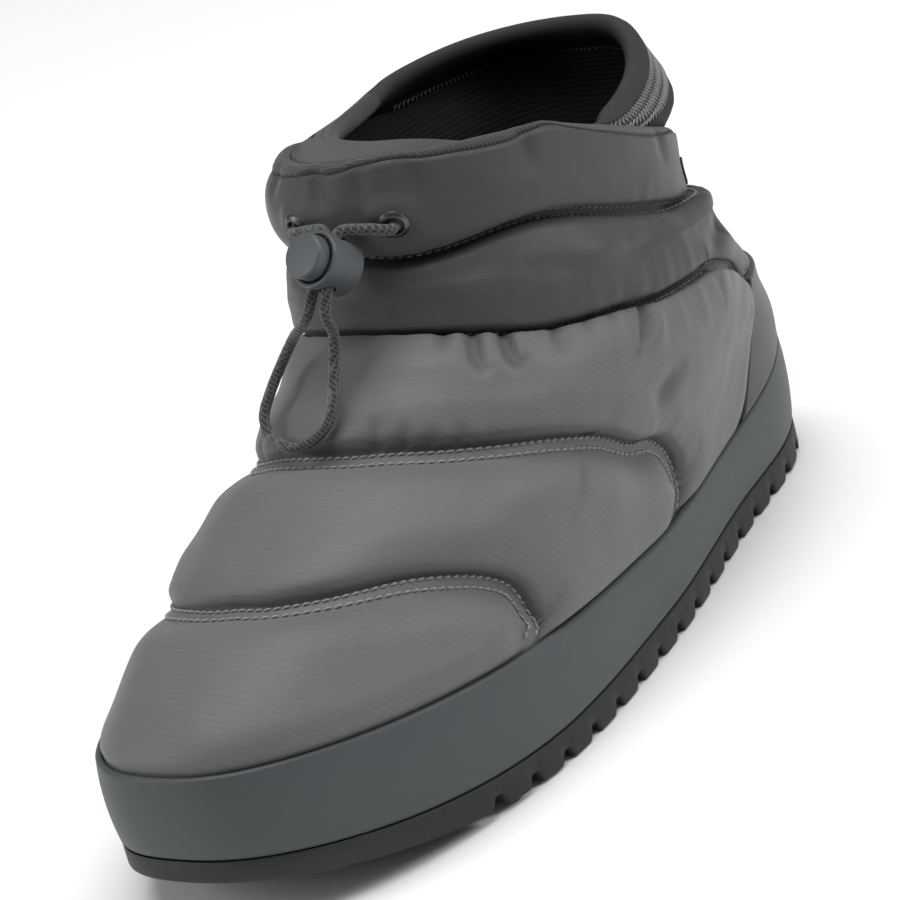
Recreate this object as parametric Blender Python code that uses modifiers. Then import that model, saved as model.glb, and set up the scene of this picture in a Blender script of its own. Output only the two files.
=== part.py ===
"""Quilted slip-on sneaker boot for a left foot, with a drawcord collar.

Tables and driving sizes are in millimetres, x from the back of the sole towards the toe,
y to the outer (lateral) side, z up from the floor. Meshes are written in metres, centred
over the sole. Angles run round the boot from the toe (0), over the outer side (90 degrees)
to the heel (180); levels run up the upper, from the feather line (0) to the collar (8).
"""
import math

import bmesh
import bpy
import numpy as np
from mathutils import Matrix, Vector
from mathutils.kdtree import KDTree

MM = 0.001
BOOT = "sneaker_boot"

# Clearances and wall sizes
GAP = 0.3
WALL = 2.8
RIM = 1.8
EDGE_INSET = 0.5
UPPER_INSET = EDGE_INSET + RIM + GAP

# Sole
SOLE_LENGTH = 296.0
BALL_HALF = 56.0
TOE_POWER = 2.55
HEEL_POWER = 2.4
HEEL_FLARE = 3.0
OUTSOLE_THICK = 9.1
TOE_START = 190.0
HEEL_BEVEL = 40.0
TOE_SPRING = 16.3
TOE_LINE_RISE = 13.2
HEEL_SPRING = 1.8
HEEL_LINE_RISE = 2.3
WALL_BULGE = 1.1
RIM_ROUND = 0.35
INSOLE_THICK = 4.0

# Share of the ball half width along the sole. Columns: along (-1 heel, 1 toe), lateral, medial
SOLE_PLAN = [
    (-1.00, 0.79, 0.79),
    (-0.60, 0.69, 0.66),
    (-0.10, 0.87, 0.77),
    (0.38, 1.00, 0.99),
    (0.70, 0.98, 1.00),
    (1.00, 0.89, 0.94),
]

# Height of the sole's top edge and of the bed inside it. Columns: x, feather, bed
SOLE_RISE = [
    (0.0, 37.7, 26.0),
    (30.0, 30.7, 24.0),
    (90.0, 27.3, 21.5),
    (180.0, 32.7, 19.5),
    (250.0, 39.5, 25.0),
    (296.0, 45.4, 36.0),
]

# Tread: bars across the sole, cut by grooves and a centre channel
LUG_PITCH = 14.0
LUG_FIRST = 16.0
LUG_LAST = 226.0
GROOVE_TOP = 5.5
GROOVE_FLOOR = 3.0
GROOVE_DEPTH = 3.6
CHANNEL_HALF = 5.0
CHANNEL_DEPTH = 3.0

# Rings of the upper above the feather line, at the seams, before the padding swells.
# fore_z is the height at FORE of the way from the middle of the ring to its front.
# Columns: name, front_x, back_x, lateral, medial, front_z, fore_z, mid_z, back_z, power, sole_share
FORE = 0.6
RINGS = [
    ("low", 279.5, 1.0, 50.5, 50.5, 54.5, 45.5, 40.5, 45.0, 2.5, 0.9),
    ("toe_seam", 245.0, 6.0, 48.5, 47.0, 66.5, 65.0, 56.0, 55.5, 2.5, 0.7),
    ("vamp_seam", 195.0, 12.0, 47.0, 45.0, 85.0, 79.5, 72.0, 65.0, 2.5, 0.4),
    ("instep_seam", 167.0, 20.0, 45.0, 43.0, 105.0, 96.5, 87.5, 74.0, 2.35, 0.0),
    ("ankle", 160.0, 31.0, 40.0, 41.5, 116.0, 111.0, 99.5, 82.0, 2.2, 0.0),
    ("ankle_seam", 160.5, 34.0, 39.0, 42.5, 127.5, 125.0, 112.0, 89.0, 2.1, 0.0),
    ("tier", 162.0, 35.0, 38.5, 43.5, 139.5, 136.5, 122.5, 97.0, 2.15, 0.0),
    ("collar", 162.5, 33.0, 40.5, 43.0, 151.0, 147.5, 134.0, 104.5, 2.1, 0.0),
]
COLLAR = len(RINGS)

# Quilting seams from the front back. Columns: angle, level on the outer side, on the inner side
TOE_SEAM = [(0, 2.00, 2.00), (20, 2.00, 1.90), (40, 1.92, 1.70), (55, 1.72, 1.52), (65, 1.48, 1.32),
            (70, 1.20, 1.08), (73.5, 0.75, 0.68), (75, 0.30, 0.28), (74.5, 0.00, 0.00)]
VAMP_SEAM = [(0, 3.00, 3.00), (18, 3.00, 2.95), (38, 2.92, 2.80), (52, 2.82, 2.70), (66, 2.67, 2.55),
             (80, 2.40, 2.28), (90, 2.05, 1.95), (95, 1.65, 1.55), (98.5, 1.20, 1.12), (100.5, 0.75, 0.70),
             (101.7, 0.30, 0.28), (101, 0.00, 0.00)]
INSTEP_SEAM = [(0, 4.00, 4.00), (30, 3.96, 3.96), (50, 3.90, 3.90), (72, 3.93, 3.93), (86, 3.88, 3.88),
               (102, 3.98, 3.98), (110, 3.87, 3.87), (119, 3.55, 3.55), (132, 2.85, 2.85),
               (155, 2.80, 2.80), (180, 2.85, 2.85)]
COUNTER_EDGE = [(132, 2.85, 2.85), (133.5, 2.20, 2.20), (131.5, 1.65, 1.65), (129, 1.15, 1.15),
                (126, 0.35, 0.35), (124.5, 0.00, 0.00)]
ANKLE_SEAM = [(0, 6.00, 6.00), (15, 5.88, 5.88), (30, 5.88, 5.88), (52, 6.00, 6.00), (70, 6.00, 6.00),
              (101, 5.87, 5.87), (120, 5.85, 5.85), (180, 5.90, 5.90)]
SEAMS = [TOE_SEAM, VAMP_SEAM, INSTEP_SEAM, COUNTER_EDGE, ANKLE_SEAM]
SEAM_SAMPLES = 200
SEAM_FLAT = 1.2

# Swell of the padding between the seams
PUFF_HEIGHT = 5.2
PUFF_BACK = 2.2
PUFF_REACH = 16.0
FEATHER_FLAT = 0.8
COLLAR_PUFF_SHARE = 0.55
CREST_HEIGHT = 3.0
CREST_BACK = 2.5
CREST_TURNS = (45, 90, 135)
INNER_LEVELS = (8.0, 7.0, 6.0, 5.0, 4.0, 3.0, 2.0, 1.0, 0.0)

# Inner cuff
CUFF_THICK = 3.0
CUFF_GAP = 0.4
CUFF_START = 6.3
CUFF_LEVELS = ((CUFF_START, 0.0), (7.2, 0.2), (8.0, 0.6))
CUFF_MID = ("mid", 151.0, 29.5, 35.5, 41.5, 152.0, 149.5, 141.0, 123.5, 2.3, 0.0)
CUFF_RIM = ("rim", 140.0, 33.0, 34.5, 39.5, 149.4, 149.0, 146.0, 143.0, 2.1, 0.0)
CUFF_DIPS = (10.0, 13.0)

# Heel counter
COUNTER_OFF = 0.5
COUNTER_THICK = 1.4
COUNTER_LOW = 0.12
COUNTER_TOP = 2.65
COUNTER_MARGIN = 2.5

# Label on the back of the collar
LABEL_ANGLES = (134.0, 155.0)
LABEL_LEVELS = (6.4, 7.45)
LABEL_OFF = 0.5
LABEL_THICK = 0.8

# Eyelets and drawcord
EYELETS = {"lateral": (18.5, 6.86), "medial": (-14.5, 6.9)}
EYELET_RADIUS = 4.2
EYELET_HOLE = 2.4
EYELET_THICK = 1.1
CORD_DIAMETER = 3.0
STRAND_LIFT = 2.6
STRAND_ARCH = 1.0

# Cord lock: axis points out of the button
LOCK_AXIS = (0.793, -0.122, 0.597)
LOCK_FACE = (185.7, 1.2, 137.9)
BUTTON_RADIUS = 6.1
BUTTON_PROUD = 4.2
BUTTON_INSIDE = 1.0
BARREL_RADIUS = 7.7
BARREL_BORE = 6.45
BARREL_LENGTH = 11.5
BARREL_FLOOR = 1.8
LOCK_EDGE = 0.7
CORD_HOLE_DEPTH = 4.8
CORD_HOLE_RADIUS = 2.1
CORD_HOLE_SPREAD = 2.6

# Mesh divisions: columns round the boot, one of them on each front edge of the counter
COLUMNS = 60
EDGE_COLUMN = 22
ARC_SAMPLES = 2000
WARP_TOP = 3.6
PANEL_SHARES = (0.0, 0.08, 0.28, 0.54, 0.8, 0.94)
LOCK_SIDES = 24
EYELET_SIDES = 16


def smooth(x, xs, ys):
    """Smooth curve through the rows (xs, ys), read at x."""
    xs = np.asarray(xs, float)
    ys = np.asarray(ys, float)
    slopes = np.gradient(ys, xs, axis=0)
    x = np.clip(np.asarray(x, float), xs[0], xs[-1])
    i = np.clip(np.searchsorted(xs, x, side="right") - 1, 0, len(xs) - 2)
    step = xs[i + 1] - xs[i]
    t = (x - xs[i]) / step
    if ys.ndim > 1:
        step = step[..., None]
        t = t[..., None]
    start = (1 + 2 * t) * (1 - t) ** 2 * ys[i] + t * (1 - t) ** 2 * step * slopes[i]
    end = t * t * (3 - 2 * t) * ys[i + 1] - t * t * (1 - t) * step * slopes[i + 1]
    return start + end


def oval(angle, front_power, back_power):
    """Place along (-1 to 1) and across (-1 to 1) on a rounded oval."""
    c = np.cos(angle)
    s = np.sin(angle)
    power = np.where(c > 0, front_power, back_power)
    along = np.sign(c) * np.abs(c) ** (2 / power)
    across = np.sign(s) * np.abs(s) ** (2 / power)
    return along, across


def plan_share(along, angle):
    """Share of the ball half width, from the plan of the sole."""
    rows = np.array(SOLE_PLAN)
    lateral = smooth(along, rows[:, 0], rows[:, 1])
    medial = smooth(along, rows[:, 0], rows[:, 2])
    return np.where(np.sin(angle) >= 0, lateral, medial)


def toe_lift(x):
    return np.clip((x - TOE_START) / (SOLE_LENGTH - TOE_START), 0, 1) ** 2


def heel_lift(x):
    return np.clip((HEEL_BEVEL - x) / HEEL_BEVEL, 0, 1) ** 2


def bottom_z(x):
    """Underside of the sole, with its toe spring and heel bevel."""
    return TOE_SPRING * toe_lift(x) + HEEL_SPRING * heel_lift(x)


def line_z(x):
    """Line on the side where midsole meets outsole."""
    return OUTSOLE_THICK + TOE_LINE_RISE * toe_lift(x) + HEEL_LINE_RISE * heel_lift(x)


def feather_z(x):
    rows = np.array(SOLE_RISE)
    return smooth(x, rows[:, 0], rows[:, 1])


def bed_z(x):
    rows = np.array(SOLE_RISE)
    return smooth(x, rows[:, 0], rows[:, 2])


def sole_outline(angle, inset, flare=0.0):
    """Plan of the sole moved in by inset; flare lets the heel stand back."""
    along, across = oval(angle, TOE_POWER, HEEL_POWER)
    half = SOLE_LENGTH / 2
    back = np.where(along < 0, flare * np.abs(along) ** 3, 0.0)
    x = half + (half - inset) * along - back
    y = (BALL_HALF * plan_share(along, angle) - inset) * across
    return x, y


def feather_ring(angle, inset):
    x, y = sole_outline(angle, inset, HEEL_FLARE)
    return np.stack([x, y, feather_z(x)], -1)


def ring(angle, row):
    """Points of one row of the ring table."""
    _, front_x, back_x, lateral, medial, front_z, fore_z, mid_z, back_z, power, share = row
    along, across = oval(angle, power, power)
    x = back_x + (front_x - back_x) * (1 + along) / 2
    half = np.where(np.sin(angle) >= 0, lateral, medial)
    half = half * (1 - share + share * plan_share(along, angle))
    z = smooth(along, (-1, 0, FORE, 1), (back_z, mid_z, fore_z, front_z))
    return np.stack([x, half * across, z], -1)


def base(angle, level):
    """Upper before the padding swells: a smooth surface through the rings."""
    angle, level = np.broadcast_arrays(np.asarray(angle, float), np.asarray(level, float))
    shape = angle.shape
    a = angle.ravel()
    v = level.ravel()
    rings = np.stack([feather_ring(a, UPPER_INSET)] + [ring(a, row) for row in RINGS])
    slopes = np.gradient(rings, axis=0)
    i = np.clip(np.floor(v).astype(int), 0, COLLAR - 1)
    t = (v - i)[:, None]
    k = np.arange(len(a))
    start = (1 + 2 * t) * (1 - t) ** 2 * rings[i, k] + t * (1 - t) ** 2 * slopes[i, k]
    end = t * t * (3 - 2 * t) * rings[i + 1, k] - t * t * (1 - t) * slopes[i + 1, k]
    return (start + end).reshape(shape + (3,))


def outward(angle, level):
    """Unit normal of the base surface."""
    step = 1e-3
    low = np.clip(level - step, 0, COLLAR)
    high = np.clip(level + step, 0, COLLAR)
    around = base(angle + step, level) - base(angle - step, level)
    up = base(angle, high) - base(angle, low)
    normal = np.cross(around, up)
    return normal / np.linalg.norm(normal, axis=-1, keepdims=True)


def seam_tree():
    """Points along every seam on both sides, to measure from."""
    points = []
    for table in SEAMS:
        rows = np.array(table, float)
        place = np.linspace(0, len(rows) - 1, SEAM_SAMPLES)
        rows = smooth(place, np.arange(len(rows)), rows)
        angle = np.radians(rows[:, 0])
        points.append(base(angle, np.clip(rows[:, 1], 0, COLLAR)))
        points.append(base(-angle, np.clip(rows[:, 2], 0, COLLAR)))
    points = np.concatenate(points)
    tree = KDTree(len(points))
    for k, point in enumerate(points):
        tree.insert(point, k)
    tree.balance()
    return tree


def in_counter(angle, level):
    """True behind the counter's edge, where the upper is not padded."""
    rows = np.array(COUNTER_EDGE, float)[::-1]
    edge = smooth(level, rows[:, 1], rows[:, 0])
    turned = np.degrees(np.abs((angle + np.pi) % (2 * np.pi) - np.pi))
    return (turned > edge) & (level < COUNTER_EDGE[0][1])


def swell(angle, level):
    """Height of the padding above the base surface."""
    points = base(angle, level)
    away = np.array([SEAM_TREE.find(point)[2] for point in points.reshape(-1, 3)])
    share = np.clip((away.reshape(points.shape[:-1]) - SEAM_FLAT) / PUFF_REACH, 0, 1)
    rise = np.linalg.norm(points - base(angle, np.zeros_like(points[..., 0])), axis=-1)
    low_share = np.clip((rise - FEATHER_FLAT) / PUFF_REACH, 0, 1)
    turned = np.abs((angle + np.pi) % (2 * np.pi) - np.pi) / np.pi
    height = smooth(turned, (0.0, 0.6, 1.0), (PUFF_HEIGHT, PUFF_HEIGHT, PUFF_BACK))
    closing = smooth(level, (0.0, 7.3, 8.0), (1.0, 1.0, COLLAR_PUFF_SHARE))
    puff = height * closing * np.minimum(share ** 2 * (3 - 2 * share), 1 - (1 - low_share) ** 3)
    return np.where(in_counter(angle, level), 0.0, puff)


def skin(angle, level, off=0.0):
    """Outer surface of the padded upper, moved out by off."""
    return base(angle, level) + outward(angle, level) * (swell(angle, level) + off)[..., None]


ARC_ANGLES = np.linspace(0, np.pi, ARC_SAMPLES)
ARC_STEPS = np.linalg.norm(np.diff(np.stack(sole_outline(ARC_ANGLES, 0.0), -1), axis=0), axis=1)
ARC_RUN = np.concatenate([[0], np.cumsum(ARC_STEPS)])


def column_angles(edge):
    """Angles of the mesh columns: even steps along the sole, one of them at edge degrees."""
    at_edge = np.interp(math.radians(edge), ARC_ANGLES, ARC_RUN)
    half = COLUMNS // 2
    run = np.interp(np.arange(half + 1), (0, EDGE_COLUMN, half), (0, at_edge, ARC_RUN[-1]))
    angles = np.interp(run, ARC_RUN, ARC_ANGLES)
    return np.concatenate([angles, 2 * np.pi - angles[-2:0:-1]])


SEAM_TREE = seam_tree()
ANGLES = column_angles(COUNTER_EDGE[-1][0])


def wall_ring(share):
    """Ring on the midsole's outer wall, from the outsole (0) to the feather line (1)."""
    bulge = WALL_BULGE * 4 * share * (1 - share)
    x, y = sole_outline(ANGLES, EDGE_INSET - bulge, HEEL_FLARE * share)
    low = line_z(x) + GAP / 2
    return np.stack([x, y, low + (feather_z(x) - low) * share], -1)


WALL_SHARES = (0.0, 0.12, 0.35, 0.6, 0.82, 0.95, 1.0)
WALL_POINTS = np.concatenate([wall_ring(share) for share in WALL_SHARES])
CENTRE = (WALL_POINTS.min(0) + WALL_POINTS.max(0)) / 2 * (1, 1, 0)


def reset_scene():
    for obj in list(bpy.data.objects):
        bpy.data.objects.remove(obj, do_unlink=True)


def new_collection(name):
    collection = bpy.data.collections.new(name)
    bpy.context.scene.collection.children.link(collection)
    return collection


def material(name, colour, roughness, metallic=0.0):
    made = bpy.data.materials.new(name)
    made.use_nodes = True
    shader = made.node_tree.nodes["Principled BSDF"]
    shader.inputs["Base Color"].default_value = (*colour, 1.0)
    shader.inputs["Roughness"].default_value = roughness
    shader.inputs["Metallic"].default_value = metallic
    made.diffuse_color = (*colour, 1.0)
    return made


def place(points):
    """Millimetres from the heel to metres in the boot's own frame."""
    return (np.asarray(points, float) - CENTRE) * MM


def mesh_object(name, points, faces, finish, collection, sharp_degrees=40):
    mesh = bpy.data.meshes.new(name)
    mesh.from_pydata([tuple(p) for p in place(points)], [], faces)
    mesh.validate()
    mesh.shade_smooth()
    mesh.set_sharp_from_angle(angle=math.radians(sharp_degrees))
    mesh.materials.append(finish)
    obj = bpy.data.objects.new(name, mesh)
    collection.objects.link(obj)
    return obj


def grid_faces(rows, columns, close_rows, close_columns):
    """Quads of a grid of rows of points; rows and columns may each close on themselves."""
    faces = []
    for i in range(rows if close_rows else rows - 1):
        for j in range(columns if close_columns else columns - 1):
            i2 = (i + 1) % rows
            j2 = (j + 1) % columns
            faces.append((i * columns + j, i * columns + j2, i2 * columns + j2, i2 * columns + j))
    return faces


def ladder_faces(first, columns, up):
    """Close a ring by rungs between its two sides."""
    half = columns // 2
    faces = [(0, 1, columns - 1), (half - 1, half, half + 1)]
    faces += [(j, j + 1, columns - j - 1, columns - j) for j in range(1, half - 1)]
    faces = [tuple(first + k for k in face) for face in faces]
    return faces if up else [face[::-1] for face in faces]


def sleeve(name, rings, finish, collection):
    """Closed tube wall: rings up the outside, over the edge and down the inside."""
    faces = grid_faces(len(rings), COLUMNS, True, True)
    return mesh_object(name, np.concatenate(rings), faces, finish, collection)


def tub(name, rings, finish, collection):
    """Solid from a bottom ring, up its side, to a ring closed by rungs."""
    faces = ladder_faces(0, COLUMNS, False)
    faces += grid_faces(len(rings), COLUMNS, False, True)
    faces += ladder_faces((len(rings) - 1) * COLUMNS, COLUMNS, True)
    return mesh_object(name, np.concatenate(rings), faces, finish, collection)


def overlay(name, angles, levels, off, thick, finish, collection):
    """Thin piece that follows the upper: grids of angle and level, off the upper's skin."""
    inner = skin(angles, levels, off)
    outer = skin(angles, levels, off + thick)
    rows, columns = angles.shape
    count = rows * columns
    under = grid_faces(rows, columns, False, False)
    faces = [tuple(count + k for k in face) for face in under] + [face[::-1] for face in under]
    rim = [j for j in range(columns)]
    rim += [i * columns + columns - 1 for i in range(1, rows)]
    rim += [(rows - 1) * columns + j for j in range(columns - 2, -1, -1)]
    rim += [i * columns for i in range(rows - 2, 0, -1)]
    faces += [(a, b, count + b, count + a) for a, b in zip(rim, rim[1:] + rim[:1])]
    points = np.concatenate([inner.reshape(-1, 3), outer.reshape(-1, 3)])
    return mesh_object(name, points, faces, finish, collection)


def groove_stations():
    """Places along the sole where the tread's bars and grooves begin and end, with their depth."""
    stations = []
    count = int((LUG_LAST - LUG_FIRST) / LUG_PITCH) + 1
    slope = (GROOVE_TOP - GROOVE_FLOOR) / 2
    for k in range(count):
        start = LUG_FIRST + k * LUG_PITCH
        stations += [(start, 0.0), (start + slope, GROOVE_DEPTH),
                     (start + slope + GROOVE_FLOOR, GROOVE_DEPTH), (start + GROOVE_TOP, 0.0)]
    return stations


def half_widths(x):
    """Lateral and medial half width of the sole's plan at x."""
    half = SOLE_LENGTH / 2
    along = np.clip((x - half) / (half - EDGE_INSET), -1, 1)
    power = np.where(along > 0, TOE_POWER, HEEL_POWER)
    across = (1 - np.abs(along) ** power) ** (1 / power)
    lateral = (BALL_HALF * plan_share(along, np.pi / 2) - EDGE_INSET) * across
    medial = (BALL_HALF * plan_share(along, -np.pi / 2) - EDGE_INSET) * across
    return lateral, medial


def build_outsole(finish, collection):
    """Tread slab lofted from section to section along the sole."""
    end_rows = (0.6, 1.2, 2.5, 4.5, 7.5, 11.0)
    stations = [(row, 0.0) for row in end_rows] + groove_stations()
    toe_rows = np.linspace(LUG_LAST + 8.0, SOLE_LENGTH - 16.0, 7)
    stations += [(row, 0.0) for row in toe_rows]
    stations += [(SOLE_LENGTH - row, 0.0) for row in reversed(end_rows)]
    lanes = (-1.0, -0.5, -0.001, 0.001, 0.5, 1.0)
    rows = []
    for x, depth in stations:
        lateral, medial = half_widths(np.array(x))
        low = bottom_z(x) + depth
        channel = CHANNEL_DEPTH if LUG_FIRST < x < LUG_LAST else 0.0
        reach = min(CHANNEL_HALF, 0.4 * float(medial))
        under = []
        for lane in lanes:
            inner = abs(lane) < 0.01
            wide = float(lateral if lane > 0 else medial)
            y = math.copysign(reach, lane) if inner else lane * wide
            under.append((x, y, max(low, bottom_z(x) + channel) if inner else low))
        top = [(x, y, line_z(x) - GAP / 2) for _, y, _ in reversed(under)]
        rows.append(under + top)
    columns = len(rows[0])
    faces = grid_faces(len(rows), columns, False, True)
    first = tuple(range(columns))
    last = tuple(columns * (len(rows) - 1) + k for k in range(columns))
    faces += [first[::-1], last]
    return mesh_object("outsole", np.concatenate(rows), faces, finish, collection, 25)


def build_midsole(finish, collection):
    """Cup of foam: outer wall, thin rim, and a bed inside for the upper and the insole."""
    rings = [wall_ring(share) for share in WALL_SHARES]
    rings[-1][:, 2] -= GAP
    x, y = sole_outline(ANGLES, EDGE_INSET + RIM_ROUND * RIM, HEEL_FLARE)
    rings.append(np.stack([x, y, feather_z(x)], -1))
    x, y = sole_outline(ANGLES, EDGE_INSET + RIM, HEEL_FLARE)
    rings.append(np.stack([x, y, feather_z(x) - GAP], -1))
    rings.append(np.stack([x, y, bed_z(x)], -1))
    return tub("midsole", rings, finish, collection)


def build_insole(finish, collection):
    x, y = sole_outline(ANGLES, UPPER_INSET + WALL + 2 * GAP, HEEL_FLARE)
    low = np.stack([x, y, bed_z(x) + GAP], -1)
    high = low + (0, 0, INSOLE_THICK)
    return tub("insole", [low, high], finish, collection)


def seam_level(table):
    """Level of a seam at each mesh column; a seam that has run out lies on the feather line."""
    rows = np.array(table, float)
    places = np.linspace(0, len(rows) - 1, SEAM_SAMPLES)
    rows = smooth(places, np.arange(len(rows)), rows)
    turned_to = np.maximum.accumulate(rows[:, 0]) + np.arange(SEAM_SAMPLES) * 1e-6
    degrees = np.degrees(ANGLES)
    lateral = np.interp(degrees, turned_to, rows[:, 1])
    medial = np.interp(360 - degrees, turned_to, rows[:, 2])
    return np.clip(np.where(degrees <= 180, lateral, medial), 0, COLLAR)


def outer_rows():
    """Angles and levels of the upper's mesh rows: the seams and some rows between them."""
    seams = [np.zeros(COLUMNS)]
    seams += [seam_level(table) for table in (TOE_SEAM, VAMP_SEAM, INSTEP_SEAM, ANKLE_SEAM)]
    seams.append(np.full(COLUMNS, float(COLLAR)))
    levels = [low + (high - low) * share for low, high in zip(seams, seams[1:]) for share in PANEL_SHARES]
    levels.append(seams[-1])
    edge_rows = np.array(COUNTER_EDGE, float)[::-1]
    rows = []
    for level in levels:
        edge = smooth(level, edge_rows[:, 1], edge_rows[:, 0])
        fade = np.clip((WARP_TOP - level) / (WARP_TOP - COUNTER_EDGE[0][1]), 0, 1)
        edge = COUNTER_EDGE[-1][0] + (edge - COUNTER_EDGE[-1][0]) * fade
        angles = np.array([column_angles(at)[k] for k, at in enumerate(edge)])
        rows.append((angles, level))
    return rows


def build_upper(finish, collection):
    """One padded wall, open at the collar and underneath."""
    x, y = sole_outline(ANGLES, UPPER_INSET, HEEL_FLARE)
    rings = [np.stack([x, y, bed_z(x) + GAP], -1)]
    rings += [skin(angles, levels) for angles, levels in outer_rows()]
    top = np.full(COLUMNS, float(COLLAR))
    swollen = swell(ANGLES, top)
    rise = CREST_BACK + (CREST_HEIGHT - CREST_BACK) * (1 + np.cos(ANGLES)) / 2
    for turn in np.radians(CREST_TURNS):
        off = (swollen - WALL) / 2 + (swollen + WALL) / 2 * math.cos(turn)
        crest = base(ANGLES, top) + outward(ANGLES, top) * off[:, None]
        rings.append(crest + rise[:, None] * (0.0, 0.0, math.sin(turn)))
    for level in INNER_LEVELS:
        row = np.full(COLUMNS, level)
        rings.append(base(ANGLES, row) - outward(ANGLES, row) * WALL)
    x, y = sole_outline(ANGLES, UPPER_INSET + WALL, HEEL_FLARE)
    rings.append(np.stack([x, y, bed_z(x) + GAP], -1))
    upper = sleeve("upper", rings, finish, collection)
    shape = bmesh.new()
    shape.from_mesh(upper.data)
    bmesh.ops.remove_doubles(shape, verts=shape.verts, dist=0.00001)
    bmesh.ops.dissolve_degenerate(shape, edges=shape.edges, dist=0.00001)
    shape.to_mesh(upper.data)
    shape.free()
    return upper


def cuff_rings():
    """Outer rings of the cuff, from inside the collar up to its rim."""
    rings = []
    lateral = np.clip(np.sin(ANGLES), 0, 1) ** 2
    for level, lower in CUFF_LEVELS:
        row = level - lower * lateral ** 3
        rings.append(base(ANGLES, row) - outward(ANGLES, row) * (WALL + CUFF_GAP))
    for row, dip in zip((CUFF_MID, CUFF_RIM), CUFF_DIPS):
        rings.append(ring(ANGLES, row) - lateral[:, None] * (0.0, 0.0, dip))
    rows = np.stack(rings)
    places = (0.0, 1.0, 2.0, 2.5, 3.0, 3.5, 4.0)
    return list(smooth(np.array(places), np.arange(len(rows)), rows.reshape(len(rows), -1))
                .reshape(len(places), COLUMNS, 3))


def build_cuff(finish, collection):
    """Knit sleeve with a rolled rim, standing above the collar at the back and low at the front."""
    outer = np.stack(cuff_rings())
    around = np.roll(outer, -1, axis=1) - np.roll(outer, 1, axis=1)
    along = np.gradient(outer, axis=0)
    normal = unit(np.cross(around, along))
    ahead = unit(along[-1])
    half = CUFF_THICK / 2
    roll = []
    for turn in np.radians(CREST_TURNS):
        roll.append(outer[-1] - normal[-1] * half * (1 - math.cos(turn)) + ahead * half * math.sin(turn))
    inner = (outer - normal * CUFF_THICK)[::-2]
    return sleeve("inner_cuff", list(outer) + roll + list(inner), finish, collection)


def build_counter(finish, collection):
    """Heel counter cut from the upper's own surface between its two front edges."""
    rows = np.array(COUNTER_EDGE, float)[::-1]
    levels = np.linspace(COUNTER_LOW, COUNTER_TOP, 6)
    edge = smooth(levels, rows[:, 1], rows[:, 0]) + COUNTER_MARGIN
    across = np.linspace(0, 1, 21)
    angles = np.radians(edge[:, None] + (360 - 2 * edge[:, None]) * across[None])
    grid = np.repeat(levels[:, None], len(across), axis=1)
    return overlay("heel_counter", angles, grid, COUNTER_OFF, COUNTER_THICK, finish, collection)


def build_label(finish, collection):
    """Plain woven tab on the back of the collar, towards the outer side."""
    angles = np.radians(np.linspace(*LABEL_ANGLES, 6))
    levels = np.linspace(*LABEL_LEVELS, 7)
    grid_levels, grid_angles = np.meshgrid(levels, angles, indexing="ij")
    return overlay("back_label", grid_angles, grid_levels, LABEL_OFF, LABEL_THICK, finish, collection)


def unit(vector):
    vector = np.asarray(vector, float)
    return vector / np.linalg.norm(vector, axis=-1, keepdims=True)


def frame_matrix(origin, axis, side):
    """World matrix with local z along axis and local x along side."""
    z = unit(axis)
    x = unit(np.asarray(side, float) - np.dot(side, z) * z)
    y = np.cross(z, x)
    matrix = Matrix([[x[i], y[i], z[i], 0.0] for i in range(3)] + [[0.0, 0.0, 0.0, 1.0]])
    matrix.translation = Vector(place(origin))
    return matrix


def turned(name, profile, sides, matrix, finish, collection):
    """Profile of (radius, height) pairs in mm turned round local z by a Screw modifier."""
    mesh = bpy.data.meshes.new(name)
    points = [(radius * MM, 0.0, height * MM) for radius, height in profile]
    edges = [(k, k + 1) for k in range(len(points) - 1)]
    if profile[0][0] > 0:
        edges.append((len(points) - 1, 0))
    mesh.from_pydata(points, edges, [])
    mesh.materials.append(finish)
    obj = bpy.data.objects.new(name, mesh)
    collection.objects.link(obj)
    screw = obj.modifiers.new("turn", "SCREW")
    screw.steps = sides
    screw.render_steps = sides
    screw.use_merge_vertices = True
    screw.merge_threshold = 0.00001
    screw.use_smooth_shade = True
    obj.matrix_world = matrix
    return obj


def eyelet_matrix(side):
    turned_to, height = EYELETS[side]
    angle = np.array([math.radians(turned_to)])
    level = np.array([height])
    seat = skin(angle, level, 2 * GAP)[0]
    up = skin(angle, level + 0.05)[0] - skin(angle, level - 0.05)[0]
    along = skin(angle + 0.02, level)[0] - skin(angle - 0.02, level)[0]
    return frame_matrix(seat, np.cross(along, up), up)


def build_eyelet(side, finish, collection):
    """Rolled metal ring seated on the collar."""
    profile = [(EYELET_HOLE + 0.5, EYELET_THICK), (EYELET_RADIUS - 0.7, 0.8 * EYELET_THICK),
               (EYELET_RADIUS, 0.3), (EYELET_RADIUS, 0.0), (EYELET_HOLE, 0.0), (EYELET_HOLE, 0.6)]
    return turned("eyelet_" + side, profile, EYELET_SIDES, eyelet_matrix(side), finish, collection)


LOCK_OUT = unit(LOCK_AXIS)
LOCK_DOWN = unit(np.array((0.0, 0.0, -1.0)) + LOCK_OUT[2] * LOCK_OUT)
LOCK_SIDE = np.cross(LOCK_OUT, LOCK_DOWN)
BARREL_MOUTH = np.array(LOCK_FACE) - LOCK_OUT * BUTTON_PROUD
CORD_HOLE = BARREL_MOUTH - LOCK_OUT * CORD_HOLE_DEPTH


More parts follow.
